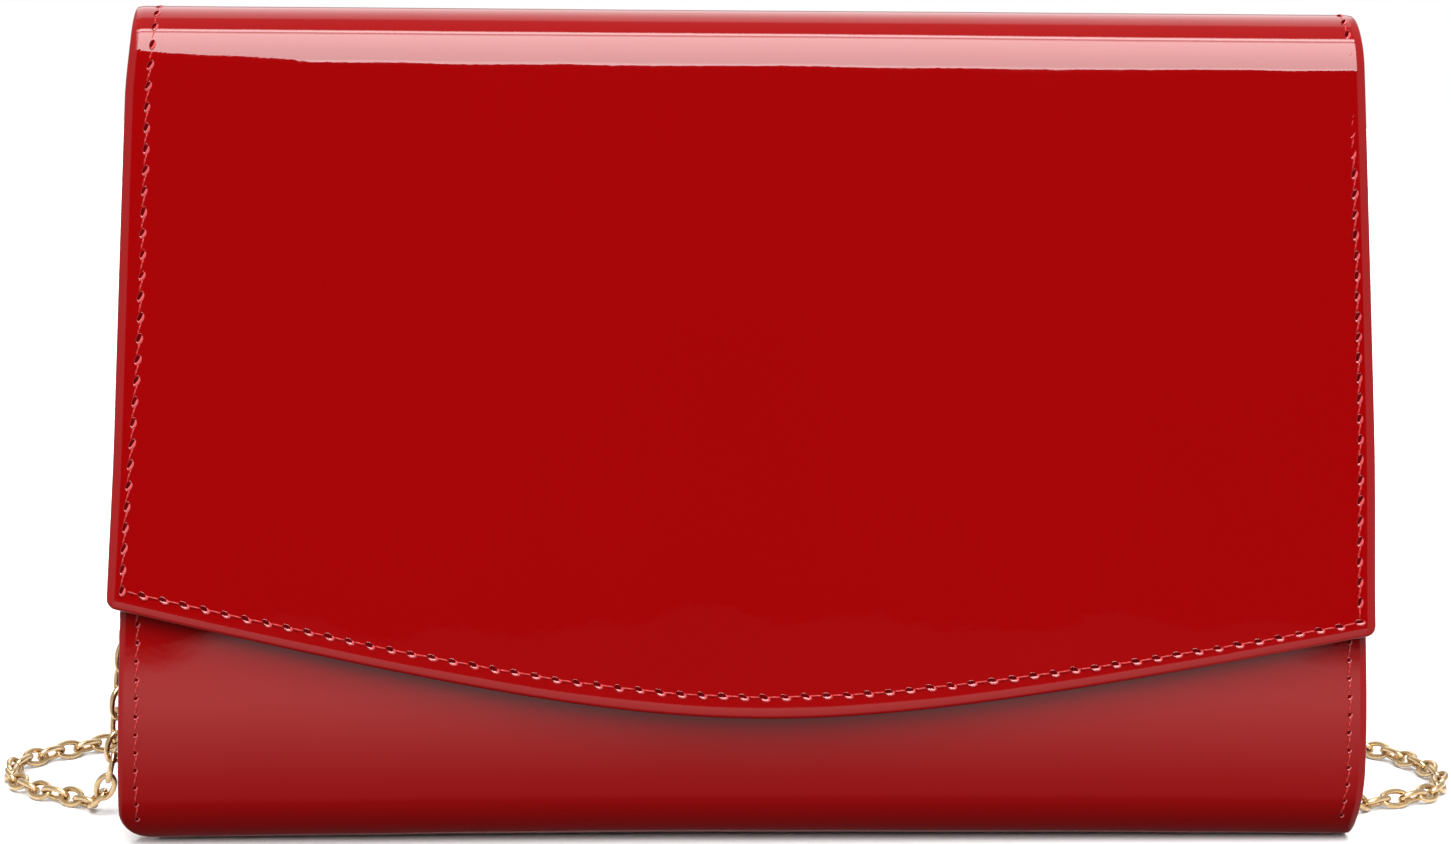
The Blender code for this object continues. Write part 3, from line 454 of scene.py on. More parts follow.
# A turned edge in section, as (how far out, how deep): a crisp start, a pressed facet and a round back
RIM_PROFILE = [
    (0.020, 0.001), (0.060, 0.004), (0.300, 0.026), (0.600, 0.058), (0.830, 0.095), (0.930, 0.170),
    (0.985, 0.330), (1.000, 0.500), (0.970, 0.700), (0.850, 0.870), (0.600, 0.970),
]


def strip(bm, a, b):
    """Faces between two open rows of as many points."""
    for i in range(len(a) - 1):
        bm.faces.new((a[i], a[i + 1], b[i + 1], b[i]))


def ring(bm, centre, a, b, sides, start=0.0):
    """Points round the ellipse with half axes a and b."""
    angles = [tau * j / sides + start for j in range(sides)]
    return [bm.verts.new(centre + a * cos(t) + b * sin(t)) for t in angles]


def bridge(bm, a, b):
    """Faces between two rings of as many points."""
    after = [(j + 1) % len(a) for j in range(len(a))]
    return [bm.faces.new((a[j], b[j], b[k], a[k])) for j, k in enumerate(after)]


def running_lengths(points):
    found = [0.0]
    for a, b in zip(points, points[1:]):
        found.append(found[-1] + (b - a).length)
    return found


def shared_out(lengths, count):
    """Evenly spaced places along a line, each as the point before it and the share to the next."""
    i = 0
    for k in range(count + 1):
        want = lengths[-1] * k / count
        while i < len(lengths) - 2 and lengths[i + 1] < want:
            i += 1
        yield i, (want - lengths[i]) / max(lengths[i + 1] - lengths[i], 1e-9)


def rounded_panel(name, point, rows, columns, rim, materials, square=()):
    """A closed panel over a grid of (u, v), whose edges turn over in a half ellipse.

    point(u, v, k) gives a place: u and v may lie past the grid by up to rim, and k goes from 0
    on the face to 1 on the inside. An end named in square, "first" or "last", is left square
    because a neighbouring panel carries straight on from it.
    """
    bm = bmesh.new()
    grids = []
    for k in (0.0, 1.0):
        grids.append([[bm.verts.new(point(u, v, k)) for u in columns] for v in rows])
    last_row = len(rows) - 1
    last_column = len(columns) - 1
    for grid in grids:
        for a, b in zip(grid, grid[1:]):
            strip(bm, a, b)
    edge = []
    corners = [(0, 0, pi), (0, last_column, -pi / 2), (last_row, last_column, 0), (last_row, 0, pi / 2)]
    walks = [
        [(0, i, -pi / 2) for i in range(1, last_column)],
        [(j, last_column, 0.0) for j in range(1, last_row)],
        [(last_row, i, pi / 2) for i in range(last_column - 1, 0, -1)],
        [(j, 0, pi) for j in range(last_row - 1, 0, -1)],
    ]
    for (j, i, angle), walk in zip(corners, walks):
        edge += [(j, i, angle + pi / 2 * k / CORNER_STEPS) for k in range(CORNER_STEPS + 1)]
        edge += walk
    loops = []
    for j, i, angle in edge:
        loop = [grids[0][j][i]]
        for share, deep in RIM_PROFILE:
            across = columns[i] + rim * share * cos(angle)
            along = rows[j] + rim * share * sin(angle)
            if "first" in square:
                along = max(along, rows[0])
            if "last" in square:
                along = min(along, rows[-1])
            loop.append(bm.verts.new(point(across, along, deep)))
        loop.append(grids[1][j][i])
        loops.append(loop)
    for a, b in zip(loops, loops[1:] + loops[:1]):
        for level in range(len(RIM_PROFILE) + 1):
            face = list(dict.fromkeys((a[level], b[level], b[level + 1], a[level + 1])))
            if len(face) > 2:
                bm.faces.new(face)
    return new_object(name, bm, materials)


def waves(x, s, height):
    """Gentle unevenness of a glued leather panel."""
    long = sin(tau * (x / 0.173 + s / 0.262) + 0.6) + 0.7 * sin(tau * (x / 0.094 - s / 0.151) + 2.1)
    short = 0.35 * sin(tau * (x / 0.041 + s / 0.083) + 4.0) + 0.22 * sin(tau * (x / 0.027 - s / 0.049) + 1.2)
    return height * (long + short)


def seam_groove(distance, depth=0.00003, width=0.0008):
    """How far stitching pulls the leather in."""
    return depth * exp(-((distance / width) ** 2))


# ---- leather panels

FLAP_RIM = 0.0018
FLAP_THICKNESS = 0.0022
WALL_SIDE = 0.00125
WALL_FULL = 0.0034
FLAP_WAVES = 0.000055
WALL_WAVES = 0.00004
ROLL_FULL_LEFT, ROLL_FULL_RIGHT = 0.00008, 0.00024
EDGE_COLUMNS = (0.0, 0.0007, 0.0012, 0.0016, 0.0020, 0.0025, 0.0032, 0.0042, 0.0056, 0.0075, 0.0100)
FLAP_ROWS_ABOVE = (
    0.016, 0.012, 0.0095, 0.0076, 0.0062, 0.0052, 0.0045, 0.0039, 0.0034, 0.0029, 0.0024, 0.0018,
)


def columns_across(half, step=0.004):
    """Distances across a panel, closer together beside its seams."""
    left = [-half + e for e in EDGE_COLUMNS]
    middle = spread(left[-1], -left[-1], step)[1:-1]
    return left + middle + [-x for x in reversed(left)]


NOMINAL = 0.1232


def place_across(u, half, rim, past=1.0):
    """The x of column u on a panel that is 2 * half wide; its rim turns over past the nominal width."""
    over = max(abs(u) - NOMINAL, 0.0) * past
    return (min(abs(u), NOMINAL) / NOMINAL * (half - rim) + over) * (1 if u > 0 else -1)


def flap_point(u, v, k):
    """u is the place across at nominal width; v counts down the skin, shared out below the roll."""
    end = SKIN.reach(flap_edge_z(u / NOMINAL * POINT_SPAN), FLAP)
    s = v if v < FLAP_FIXED_S else flap_place(v, end)
    (y, z), _ = SKIN.at(s)
    x = place_across(u, flap_half(z), FLAP_RIM)
    fade = smoothstep(CREST_S - 0.003, FLAP_FIXED_S + 0.02, s)
    lift = waves(x, s, FLAP_WAVES) * (0.25 + 0.75 * fade) + roll_fullness(x, s)
    depth = FLAP_THICKNESS * k - lift * (1 - k)
    (y, z), _ = SKIN.at(s, depth)
    return Vector((x + flap_shift(z, u), y, z))


def roll_fullness(x, s):
    """The fold is a little fuller from the middle to the right-hand end."""
    shape = smoothstep(FLAP_S - 0.009, FLAP_S + 0.001, s)
    shape *= 1 - smoothstep(FLAP_S + 0.003, FLAP_S + 0.035, s)
    full = ROLL_FULL_LEFT + ROLL_FULL_RIGHT * smoothstep(0.0, 0.105, x)
    return full * smoothstep(-0.115, -0.05, x) * shape


FLAP_FIXED_S = FLAP_S + 0.004
FLAP_NOMINAL_RUN = 0.110


def flap_place(v, end):
    """Below the roll, v runs to FLAP_FIXED_S + FLAP_NOMINAL_RUN, and its last 16 mm keep their size."""
    last = FLAP_ROWS_ABOVE[0]
    from_end = FLAP_FIXED_S + FLAP_NOMINAL_RUN - v
    if from_end <= last:
        return end - from_end
    share = (v - FLAP_FIXED_S) / (FLAP_NOMINAL_RUN - last)
    return FLAP_FIXED_S + share * (end - last - FLAP_FIXED_S)


def make_flap():
    bottom = FLAP_FIXED_S + FLAP_NOMINAL_RUN
    rows = chain_of(
        (JOIN_S, CREST_S, 0.0004),
        (CREST_S, FLAP_S, 0.0007),
        (FLAP_S, FLAP_FIXED_S, 0.001),
        (FLAP_FIXED_S, bottom - FLAP_ROWS_ABOVE[0], 0.003),
    )
    rows += [bottom - r for r in FLAP_ROWS_ABOVE[1:]]
    columns = columns_across(NOMINAL)
    skin = rounded_panel("flap_skin", flap_point, rows, columns, FLAP_RIM, [PATENT], ("first",))
    blend_front(skin)
    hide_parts("spine_leather", "flap_leather", "flap_board")


def wall_depth(from_side, k):
    """A body wall is one leather thick beside the gusset, and board and leather thick further in."""
    full = smoothstep(0.0084, 0.0110, from_side)
    return (WALL_SIDE + (WALL_FULL - WALL_SIDE) * full) * k


def wall_point(path, seam_from, seam_to, shift=0.0, bow=None, snap=None):
    """Places on a body wall, its side seams between two values of s and a snap let in at s = snap."""
    def point(u, s, k):
        (y, z), _ = path.at(s)
        half = body_half(z, u > 0)
        x = place_across(u, half, WALL_RIM)
        from_side = half - abs(x)
        sewn = smoothstep(seam_from - 0.003, seam_from, s) * (1 - smoothstep(seam_to, seam_to + 0.003, s))
        lift = waves(x, s + 0.05, WALL_WAVES) - seam_groove(from_side - SEAM_INSET) * sewn
        depth = wall_depth(from_side, k) - lift * (1 - k)
        if snap is not None:
            depth -= front_pull(x, z) * (1 - k)
            opened = 1 - smoothstep(SNAP_HOLE - 0.0006, SNAP_HOLE, hypot(x + shift, s - snap))
            depth += (SNAP_DEPTH + 0.0001 * k - depth) * opened
        (y, z), _ = path.at(s, depth)
        return Vector((x + shift, y, z + (bow(x, s) if bow else 0.0)))
    return point


WALL_RIM = 0.0014
SNAP_HOLE = 0.0066
SNAP_DEPTH = 0.0042
SNAP_FINE = 0.0078
FRONT_PULL = 0.00050
SEAM_HOLD = 0.56


def front_pull(x, z):
    """Beneath the flap the front panel stands a little more upright, less so beside its seams."""
    rise = smoothstep(0.030, 0.050, z) * (1 - smoothstep(0.056, 0.100, z))
    return FRONT_PULL * rise * (1 - SEAM_HOLD * smoothstep(0.096, 0.117, abs(x)))


# ---- baking pieces in place at the creases

def blend_front(obj):
    """Bakes the piece's placement into its mesh; it sits at the crease between the top strip and the flap,
    whose start and end are worked out but not used.
    """
    start, end = place_at(SKIN, FRONT_CREASE_S - 0.009), place_at(SKIN, FRONT_CREASE_S + 0.009)
    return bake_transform(obj)


def blend_rear(obj):
    """Bakes the piece's placement into its mesh; it sits at the crease between the back and the top strip,
    whose start and end are worked out but not used.
    """
    start, end = place_at(SKIN, REAR_CREASE_S - 0.008), place_at(SKIN, REAR_CREASE_S + 0.0055)
    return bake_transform(obj)


def blend_foot(obj):
    """Bakes the piece's placement into its mesh; it sits where the front panel runs on under the base, whose
    place is worked out but not used.
    """
    foot = place_at(SKIN, FOOT_S)
    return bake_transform(obj)


class Joined:
    """The front panel's path carried on round the base's front corner."""

    split = FRONT.length
    length = FRONT.length + BASE_S + 0.004

    @staticmethod
    def at(s, depth=0.0):
        return FRONT.at(s, depth) if s <= Joined.split else SKIN.at(s - Joined.split, depth)


BASE_BOW = 0.0008


def front_bow(x, s):
    """The front's lower corner rises a little in the middle."""
    near = smoothstep(FRONT_BULGE_S, FRONT.length, s)
    near *= 1 - smoothstep(Joined.length - 0.008, Joined.length - 0.001, s)
    return BASE_BOW * max(0.0, 1 - (x / BODY_HALF_WIDTH) ** 2) * near


def make_walls():
    cup_low, cup_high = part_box("snap_cup")
    snap = FRONT.reach((cup_low.z + cup_high.z) / 2, FRONT_LEAN)
    front = chain_of(
        (0.0, 0.006, 0.0015),
        (0.006, snap - SNAP_FINE, 0.004),
        (snap - SNAP_FINE, snap + SNAP_FINE, 0.0006),
        (snap + SNAP_FINE, FRONT_BULGE_S, 0.004),
        (FRONT_BULGE_S, FRONT.length, 0.0018),
        (FRONT.length, Joined.length, 0.0010),
    )
    rule = wall_point(Joined, 0.002, FRONT.length + 0.006, FRONT_SHIFT, front_bow, snap)
    front[0] += WALL_RIM
    columns = columns_across(NOMINAL)
    fine = spread(-SNAP_FINE, SNAP_FINE, 0.0006)
    across = [x for x in columns if abs(x) > SNAP_FINE + 0.001] + fine
    front_skin = rounded_panel("front_skin", rule, front, sorted(across), WALL_RIM, [PATENT], ("last",))
    blend_foot(front_skin)
    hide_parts("front_panel_leather", "front_board")

    start = BASE_S + 0.004
    back = chain_of(
        (start, BACK_CORNER_S, 0.003),
        (BACK_CORNER_S, BULGE_S, 0.0010),
        (BULGE_S, BACK_S, 0.0018),
        (BACK_S, REAR_ROLL_S, 0.004),
        (REAR_ROLL_S, JOIN_S, 0.0006),
    )
    back_skin = rounded_panel("back_skin", back_point, back, columns, WALL_RIM, [PATENT], ("first", "last"))
    blend_rear(back_skin)
    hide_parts("back_and_base_leather", "back_board", "base_board")


BACK_RULE = wall_point(SKIN, BACK_CORNER_S + 0.006, REAR_ROLL_S)


def back_point(u, v, k):
    """The back wall; towards the top its width and thickness become the flap's."""
    place = BACK_RULE(u, v, k)
    share = smoothstep(REAR_ROLL_S - 0.02, JOIN_S - 0.001, v)
    if share > 0:
        (_, z), _ = SKIN.at(v)
        x = place_across(u, flap_half(z), FLAP_RIM, FLAP_RIM / WALL_RIM)
        (y, z), _ = SKIN.at(v, FLAP_THICKNESS * k)
        place = place.lerp(Vector((x + flap_shift(z, u), y, z)), share)
    return place


# ---- linings and pocket

LINING_RIM = 0.0004
LINING_STEP = 0.006
WALL_LINING = (0.0036, 0.0041)
FLAP_LINING = (0.0024, 0.0030)
FLAP_LINING_IN = 0.0020
WALL_RIPPLES, FLAP_RIPPLES = 0.00007, 0.00006


def lining_depth(depths, k, ripple, from_side):
    """Only the lining's inner face, where k is 1, has the ripples, and they fade out at its sides."""
    depth = depths[0] + (depths[1] - depths[0]) * k
    return depth + (ripple * smoothstep(0.0, 0.004, from_side) if k > 0.5 else 0.0)


def lining_panel(name, path, rows, half_at, depths, materials, square=()):
    """Lining cloth glued to a panel, with its edges turned under and a few soft ripples."""
    def point(u, v, k):
        (_, z), _ = path.at(v)
        half = half_at(z)
        x = place_across(u, half, LINING_RIM)
        ripple = waves(x * 1.7 + 0.03, v * 1.4, WALL_RIPPLES)
        return place_at(path, v, x, lining_depth(depths, k, ripple, half - abs(x)))
    columns = spread(-NOMINAL, NOMINAL, LINING_STEP)
    return rounded_panel(name, point, rows, columns, LINING_RIM, materials, square)


def flap_lining_point(u, v, k):
    """The flap's lining stops short of its edges."""
    end = SKIN.reach(flap_edge_z(u / NOMINAL * POINT_SPAN), FLAP) - FLAP_LINING_IN
    s = v if v < FLAP_FIXED_S else FLAP_FIXED_S + (v - FLAP_FIXED_S) / FLAP_NOMINAL_RUN * (end - FLAP_FIXED_S)
    (_, z), _ = SKIN.at(s)
    share = smoothstep(CREST_S, FRONT_CREASE_S + 0.006, s)
    wide = lining_half(z) + (flap_half(z) - FLAP_LINING_IN - lining_half(z)) * share
    x = place_across(u, wide, LINING_RIM)
    ripple = waves(x * 1.3, s * 1.2 + 0.02, FLAP_RIPPLES)
    return place_at(SKIN, s, x, lining_depth(FLAP_LINING, k, ripple, wide - abs(x)))


def make_linings():
    back = chain_of(
        (0.003, BASE_S, 0.0012),
        (BASE_S, BACK_CORNER_S, 0.004),
        (BACK_CORNER_S, BULGE_S, 0.0012),
        (BULGE_S, REAR_ROLL_S, 0.004),
        (REAR_ROLL_S, JOIN_S, 0.001),
    )
    body = lining_panel("body_lining_cloth", SKIN, back, lining_half, WALL_LINING, [LINING], ("last",))
    blend_rear(body)
    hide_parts("body_lining")

    front = chain_of((FRONT.start_of(FRONT_LEAN) + 0.001, FRONT.length - 0.004, 0.004))
    inner = lining_panel("front_lining_cloth", FRONT, front, lining_half, WALL_LINING, [LINING])
    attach(inner, "front_panel")
    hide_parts("front_lining")

    rows = chain_of(
        (JOIN_S, FLAP_S, 0.001),
        (FLAP_S, FLAP_FIXED_S, 0.002),
        (FLAP_FIXED_S, FLAP_FIXED_S + FLAP_NOMINAL_RUN, 0.004),
    )
    columns = spread(-NOMINAL, NOMINAL, LINING_STEP)
    cloth = rounded_panel("flap_lining_cloth", flap_lining_point, rows, columns, LINING_RIM, [LINING],
                          ("first",))
    blend_front(cloth)
    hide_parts("spine_lining", "flap_lining")
    make_pocket()


POCKET_HALF_WIDTH = 0.060
POCKET_LOW, POCKET_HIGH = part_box("slip_pocket")[0].z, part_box("slip_pocket")[1].z
BINDING_HEIGHT = 0.007
POCKET_GAPE = 0.0008
POCKET_DEPTH, POCKET_THICKNESS = 0.0044, 0.0005
BINDING_DEPTH, BINDING_THICKNESS, BINDING_RIM = 0.0043, 0.0012, 0.0006


def pocket_gape(x):
    return POCKET_GAPE * cos(pi / 2 * x / POCKET_HALF_WIDTH) ** 2


def make_pocket():
    """A slip pocket on the back lining, its mouth bound in red leather and gaping slightly."""
    low = SKIN.reach(POCKET_LOW, BACK)
    high = SKIN.reach(POCKET_HIGH, BACK)

    def cloth_point(u, v, k):
        x = u * POCKET_HALF_WIDTH / NOMINAL
        gape = pocket_gape(x) * smoothstep(low + 0.02, high, v)
        return place_at(SKIN, v, x, POCKET_DEPTH + gape + POCKET_THICKNESS * k)

    cloth = rounded_panel("slip_pocket_cloth", cloth_point, spread(low, high - 0.001, 0.004),
                          spread(-NOMINAL, NOMINAL, LINING_STEP), LINING_RIM, [LINING])
    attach(cloth, "bag_body")
    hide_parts("slip_pocket")

    def binding_point(u, v, k):
        x = u * (POCKET_HALF_WIDTH + 0.0002) / NOMINAL
        return place_at(SKIN, v, x, BINDING_DEPTH + pocket_gape(x) + BINDING_THICKNESS * k)

    bound = rounded_panel("pocket_mouth_binding", binding_point, spread(high - BINDING_HEIGHT, high, 0.002),
                          spread(-NOMINAL, NOMINAL, LINING_STEP), BINDING_RIM, [BINDING])
    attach(bound, "bag_body")
    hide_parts("pocket_binding")


# ---- gussets

GUSSET_THICKNESS = 0.0010
GUSSET_FOOT_Z = 0.0021
FOLD_STEPS = 6
FLANGE_FOLD, PLEAT_FOLD = 0.0024, 0.0016
PLEAT_Y = 0.0022
PLEAT_WANDER = 0.0007


def fillet(a, corner, b, radius):
    """Points on a smooth turn at a corner between two straight runs."""
    to_a = (a - corner).normalized() * min(radius, (a - corner).length * 0.45)
    to_b = (b - corner).normalized() * min(radius, (b - corner).length * 0.45)
    return interpolate_bezier(corner + to_a, corner + to_a / 3, corner + to_b / 3, corner + to_b, FOLD_STEPS)


def web_length(z):
    share = (z - FOOT_Z) / (GUSSET_TOP_Z - FOOT_Z)
    return WEB_AT_BOTTOM + (WEB_AT_TOP - WEB_AT_BOTTOM) * min(max(share, 0), 1)


def wall_y(path, z, pieces):
    """The y of a wall's inner face, where the gusset's flange is glued, at height z."""
    for piece in pieces:
        (_, low), _ = path.at(path.pieces[piece][0])
        (_, high), _ = path.at(path.pieces[piece][0] + path.pieces[piece][1] - 1e-9)
        if min(low, high) <= z <= max(low, high):
            return path.at(path.reach(z, piece, GUSSET_MIDDLE), GUSSET_MIDDLE)[0][0]
    return path.at(path.pieces[pieces[-1]][0])[0][0]


def gusset_line(z, side):
    """The folded gusset's middle line at one height: flange, pleat and flange."""
    half = body_half(z)
    back_y = wall_y(SKIN, z, (BACK, BACK_BULGE, BACK_CORNER))
    front_y = wall_y(FRONT, z, (FRONT_LEAN, FRONT_BULGE)) if z > FOOT_Z else wall_y(SKIN, z, (FRONT_CORNER,))
    inner = half - FLANGE_INSET - FLANGE_WIDTH
    length = web_length(z)
    wide = max(abs(back_y - GUSSET_MIDDLE), abs(front_y - GUSSET_MIDDLE))
    tip = inner - max(length ** 2 - wide ** 2, 0.004 ** 2) ** 0.5
    tip += PLEAT_WANDER * sin(z / 0.011) * smoothstep(0.02, 0.06, z)
    ends = [
        Vector((half - FLANGE_INSET, back_y)),
        Vector((inner, back_y)),
        Vector((tip, PLEAT_Y)),
        Vector((inner, front_y)),
        Vector((half - FLANGE_INSET, front_y)),
    ]
    line = [ends[0]]
    for i, radius in enumerate((FLANGE_FOLD, PLEAT_FOLD, FLANGE_FOLD)):
        line += fillet(*ends[i:i + 3], radius)
    line.append(ends[4])
    return [Vector((side * p.x, p.y, z)) for p in line]


def make_gusset(word, side):
    heights = chain_of((GUSSET_FOOT_Z, GUSSET_BOTTOM_Z, 0.0012), (GUSSET_BOTTOM_Z, GUSSET_TOP_Z, 0.004))
    lines = [gusset_line(z, side) for z in heights]
    bm = bmesh.new()
    faces = []
    for offset in (-GUSSET_THICKNESS / 2, GUSSET_THICKNESS / 2):
        grid = []
        for line in lines:
            row = []
            for i, p in enumerate(line):
                along = line[min(i + 1, len(line) - 1)] - line[max(i - 1, 0)]
                out = Vector((-along.y, along.x, 0)).normalized()
                row.append(bm.verts.new(p + out * offset))
            grid.append(row)
        faces.append(grid)
    inner, outer = faces
    for grid in faces:
        for a, b in zip(grid, grid[1:]):
            strip(bm, a, b)
    for end in (0, -1):
        strip(bm, inner[end], outer[end])
        strip(bm, [row[end] for row in inner], [row[end] for row in outer])
    gusset = new_object(f"{word}_gusset", bm, [PATENT_BACKED])
    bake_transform(gusset)
    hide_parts(f"{word}_gusset_back_half", f"{word}_gusset_front_half")


# ---- stitching

STITCH_PITCH = 0.0041
SIDE_PITCH = 0.0037
HOLE_SIZE = (0.00098, 0.00050)
SMALL_HOLE = (0.00052, 0.00042)
THREAD_RADIUS = 0.00017
STITCH_WANDER = 0.00009
STITCH_LENGTH_CUT = 0.75
# The left and right side seams' distance from the flap's sides, low down and at the top
INSET_LOW = {-1: 0.0030, 1: 0.0034}
INSET_TOP = {-1: 0.0045, 1: 0.0030}
EDGE_RISE, EDGE_RISE_LESS = 0.0044, 0.0010


def along_line(places, pitch):
    """Evenly spaced (point, direction, normal) along a finely sampled seam."""
    lengths = running_lengths([point for point, _ in places])
    found = []
    for i, share in shared_out(lengths, round(lengths[-1] / pitch)):
        (a, out_a), (b, out_b) = places[i], places[i + 1]
        found.append((a.lerp(b, share), (b - a).normalized(), out_a.lerp(out_b, share).normalized()))
    return found


LIP_THIN, LIP_THICK = 0.00006, 0.00024
LIGHT_SIDE = Vector((0.55, 0, -0.83))
SLANT = 0.00030


def add_hole(bm, middle, along, across, out, size, rng):
    """A needle hole: a dark oval, a flat disc of painted shade, whose lip is pulled up into a crescent on one
    side and carries a painted highlight there.
    """
    turns, sides = 14, 5
    tilt = -rng.uniform(0.15, 0.45)
    a = (along * cos(tilt) + across * sin(tilt)) * size[0] * rng.uniform(0.92, 1.08)
    b = (across * cos(tilt) - along * sin(tilt)) * size[1] * rng.uniform(0.92, 1.08)
    rows = []
    rim = []
    lit = []
    for i in range(turns):
        t = tau * i / turns
        centre = middle + a * cos(t) + b * sin(t)
        away = (a * cos(t) / a.length + b * sin(t) / b.length).normalized()
        share = max(0.0, away.dot(LIGHT_SIDE) + 0.15)
        tube = LIP_THIN + (LIP_THICK - LIP_THIN) * share * min(1.0, size[0] / HOLE_SIZE[0])
        lit.append(share > 0.45)
        rows.append(ring(bm, centre, away * tube * 1.2, out * tube * 0.8, sides, 0.3))
        rim.append(bm.verts.new(centre + out * LIP_THIN * 0.4))
    for i in range(turns):
        for face in bridge(bm, rows[i], rows[(i + 1) % turns]):
            # Lip faces turned toward LIGHT_SIDE take material 2, the painted highlight.
            face.material_index = 2 if lit[i] else 0
    hub = bm.verts.new(middle + out * LIP_THIN * 0.6)
    for i in range(turns):
        # The flat disc across the hole takes material 1, painted shade for the hole's inside.
        bm.faces.new((hub, rim[i], rim[(i + 1) % turns])).material_index = 1


def add_stitch(bm, start, end, out):
    """One stitch: a short thread that dips into its holes."""
    sides, steps = 7, 6
    along = (end - start).normalized()
    across = along.cross(out).normalized()
    rows = []
    for i in range(steps + 1):
        t = i / steps
        swell = THREAD_RADIUS * (0.55 + 0.45 * sin(pi * min(max(t, 0.04), 0.96)) ** 0.4)
        centre = start.lerp(end, t) + out * (THREAD_RADIUS * (1.5 * sin(pi * t) ** 0.6 - 0.9))
        rows.append(ring(bm, centre, across * swell, out * swell, sides))
    for a, b in zip(rows, rows[1:]):
        bridge(bm, a, b)
    bm.faces.new(rows[0][::-1])
    bm.faces.new(rows[-1])


def stitch_row(name, runs, seed, join, size=HOLE_SIZE, pitch=STITCH_PITCH):
    """Threads and needle holes along a seam's runs; join is called on each finished piece."""
    rng = random.Random(seed)
    spots = []
    for run in runs:
        found = along_line(run, pitch)
        spots += found if not spots else found[1:]
    moved = []
    for at, along, out in spots:
        across = out.cross(along)
        moved.append((at + across * rng.uniform(-STITCH_WANDER, STITCH_WANDER), along, across, out))
    holes = bmesh.new()
    for at, along, across, out in moved:
        add_hole(holes, at + out * 0.00004, along, across, out, size, rng)
    threads = bmesh.new()
    for a, b in zip(moved, moved[1:]):
        way = b[0] - a[0]
        lean = SLANT * smoothstep(0.3, 0.9, abs(a[1].z))
        short = STITCH_LENGTH_CUT * size[0] / pitch
        move = way * short + a[2] * lean
        add_stitch(threads, a[0] + move, b[0] - move, a[3])
    thread = new_object(f"{name}_stitches", threads, [THREAD])
    # Material 1 is the painted shade of the hole discs, material 2 the painted highlight on the lips.
    hole = new_object(f"{name}_needle_holes", holes, [PATENT, HOLE_PAINTED_SHADE, LIP_PAINTED_HIGHLIGHT])
    for piece in (thread, hole):
        join(piece)
    return thread


def seam_inset(z, side):
    """The side seams wander a little: the left one starts further in at the top."""
    low, top = INSET_LOW[side], INSET_TOP[side]
    return low + (top - low) * smoothstep(0.055, 0.115, z)


def edge_rise(x):
    """Height of the stitching above the flap's edge, closer in on the right."""
    return EDGE_RISE - EDGE_RISE_LESS * smoothstep(0.030, 0.110, x)


def on_skin(path, s, x, lift=0.0):
    (y, z), heading = path.at(s, -lift)
    return Vector((x, y, z)), Vector((0, sin(heading), -cos(heading)))


def flap_seam_runs():
    """Down the left side, along the shaped edge and up the right side."""
    start = JOIN_S + 0.003
    corner = {}
    for side in (-1, 1):
        x = side * (flap_half(flap_edge_z(side * POINT_SPAN)) - seam_inset(0.05, side))
        corner[side] = (x, SKIN.reach(flap_edge_z(x) + edge_rise(x), FLAP))

    def down(side):
        run = []
        for s in spread(start, corner[side][1], 0.001):
            z = SKIN.at(s)[0][1]
            run.append(on_skin(SKIN, s, side * (flap_half(z) - seam_inset(z, side)) + flap_shift(z, side)))
        return run

    left, right = down(-1), down(1)
    low = [left[-1]]
    for x in spread(corner[-1][0], corner[1][0], 0.001)[1:-1]:
        low.append(on_skin(SKIN, SKIN.reach(flap_edge_z(x) + edge_rise(x), FLAP), x))
    low.append(right[-1])
    return [left, low, right[::-1]]


def beside_seam(path, s, side):
    """A place on a body wall's side seam, lifted where the front panel stands more upright."""
    z = path.at(s)[0][1]
    x = side * (body_half(z, side > 0) - SEAM_INSET)
    if path is Joined:
        return on_skin(path, s, x + FRONT_SHIFT, front_pull(x, z))
    return on_skin(path, s, x)


def ride_body(piece):
    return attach(piece, "bag_body")


def make_stitching():
    flap = stitch_row("flap_seam", flap_seam_runs(), 11, blend_front)
    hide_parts("flap_seam_thread")
    back_low, back_high = BACK_CORNER_S + 0.007, SKIN.reach(GUSSET_TOP_Z, BACK) + 0.008
    for word, side, seed in (("left", -1, 21), ("right", 1, 31)):
        front = [beside_seam(Joined, s, side) for s in spread(0.004, FRONT.length + 0.005, 0.001)]
        row = stitch_row(f"{word}_front_seam", [front], seed, blend_foot, SMALL_HOLE, SIDE_PITCH)
        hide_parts(f"front_seam_thread_{word}")
        back = [beside_seam(SKIN, s, side) for s in spread(back_low, back_high, 0.001)]
        row = stitch_row(f"{word}_back_seam", [back], seed + 1, ride_body, SMALL_HOLE, SIDE_PITCH)
        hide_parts(f"back_seam_thread_{word}")


# ---- chain strap

LINK_PITCH = 0.0048
LINK_HALF_LENGTH = 0.0032
LINK_HALF_WIDTH = 0.0017
LINK_WIRE = 0.0006
LAID = 0.0021
COIL_CENTRE = Vector((-0.052, 0.0585, 0))
COIL_OUT, COIL_IN = 0.02695, 0.02225
COIL_LOW, COIL_HIGH = LAID, 0.0071
LEFT_ROUTE = [
    (-0.1150, 0.0056, 0.1159), (-0.1160, 0.0057, 0.1000), (-0.1192, 0.0061, 0.0780),
    (-0.1236, 0.0068, 0.0540), (-0.1270, 0.0076, 0.0310), (-0.1290, 0.0086, 0.0150),
    (-0.1318, 0.0112, 0.0055), (-0.1358, 0.0160, LAID), (-0.1405, 0.0208, LAID),
    (-0.1455, 0.0242, LAID), (-0.1502, 0.0292, LAID), (-0.1549, 0.0368, LAID),
    (-0.1565, 0.0460, LAID), (-0.1542, 0.0550, LAID), (-0.1480, 0.0626, LAID),
    (-0.1400, 0.0700, LAID), (-0.1280, 0.0768, LAID), (-0.1120, 0.0818, LAID),
    (-0.0940, 0.0846, LAID), (-0.0800, 0.0850, LAID), (-0.0690, 0.0850, LAID),
]
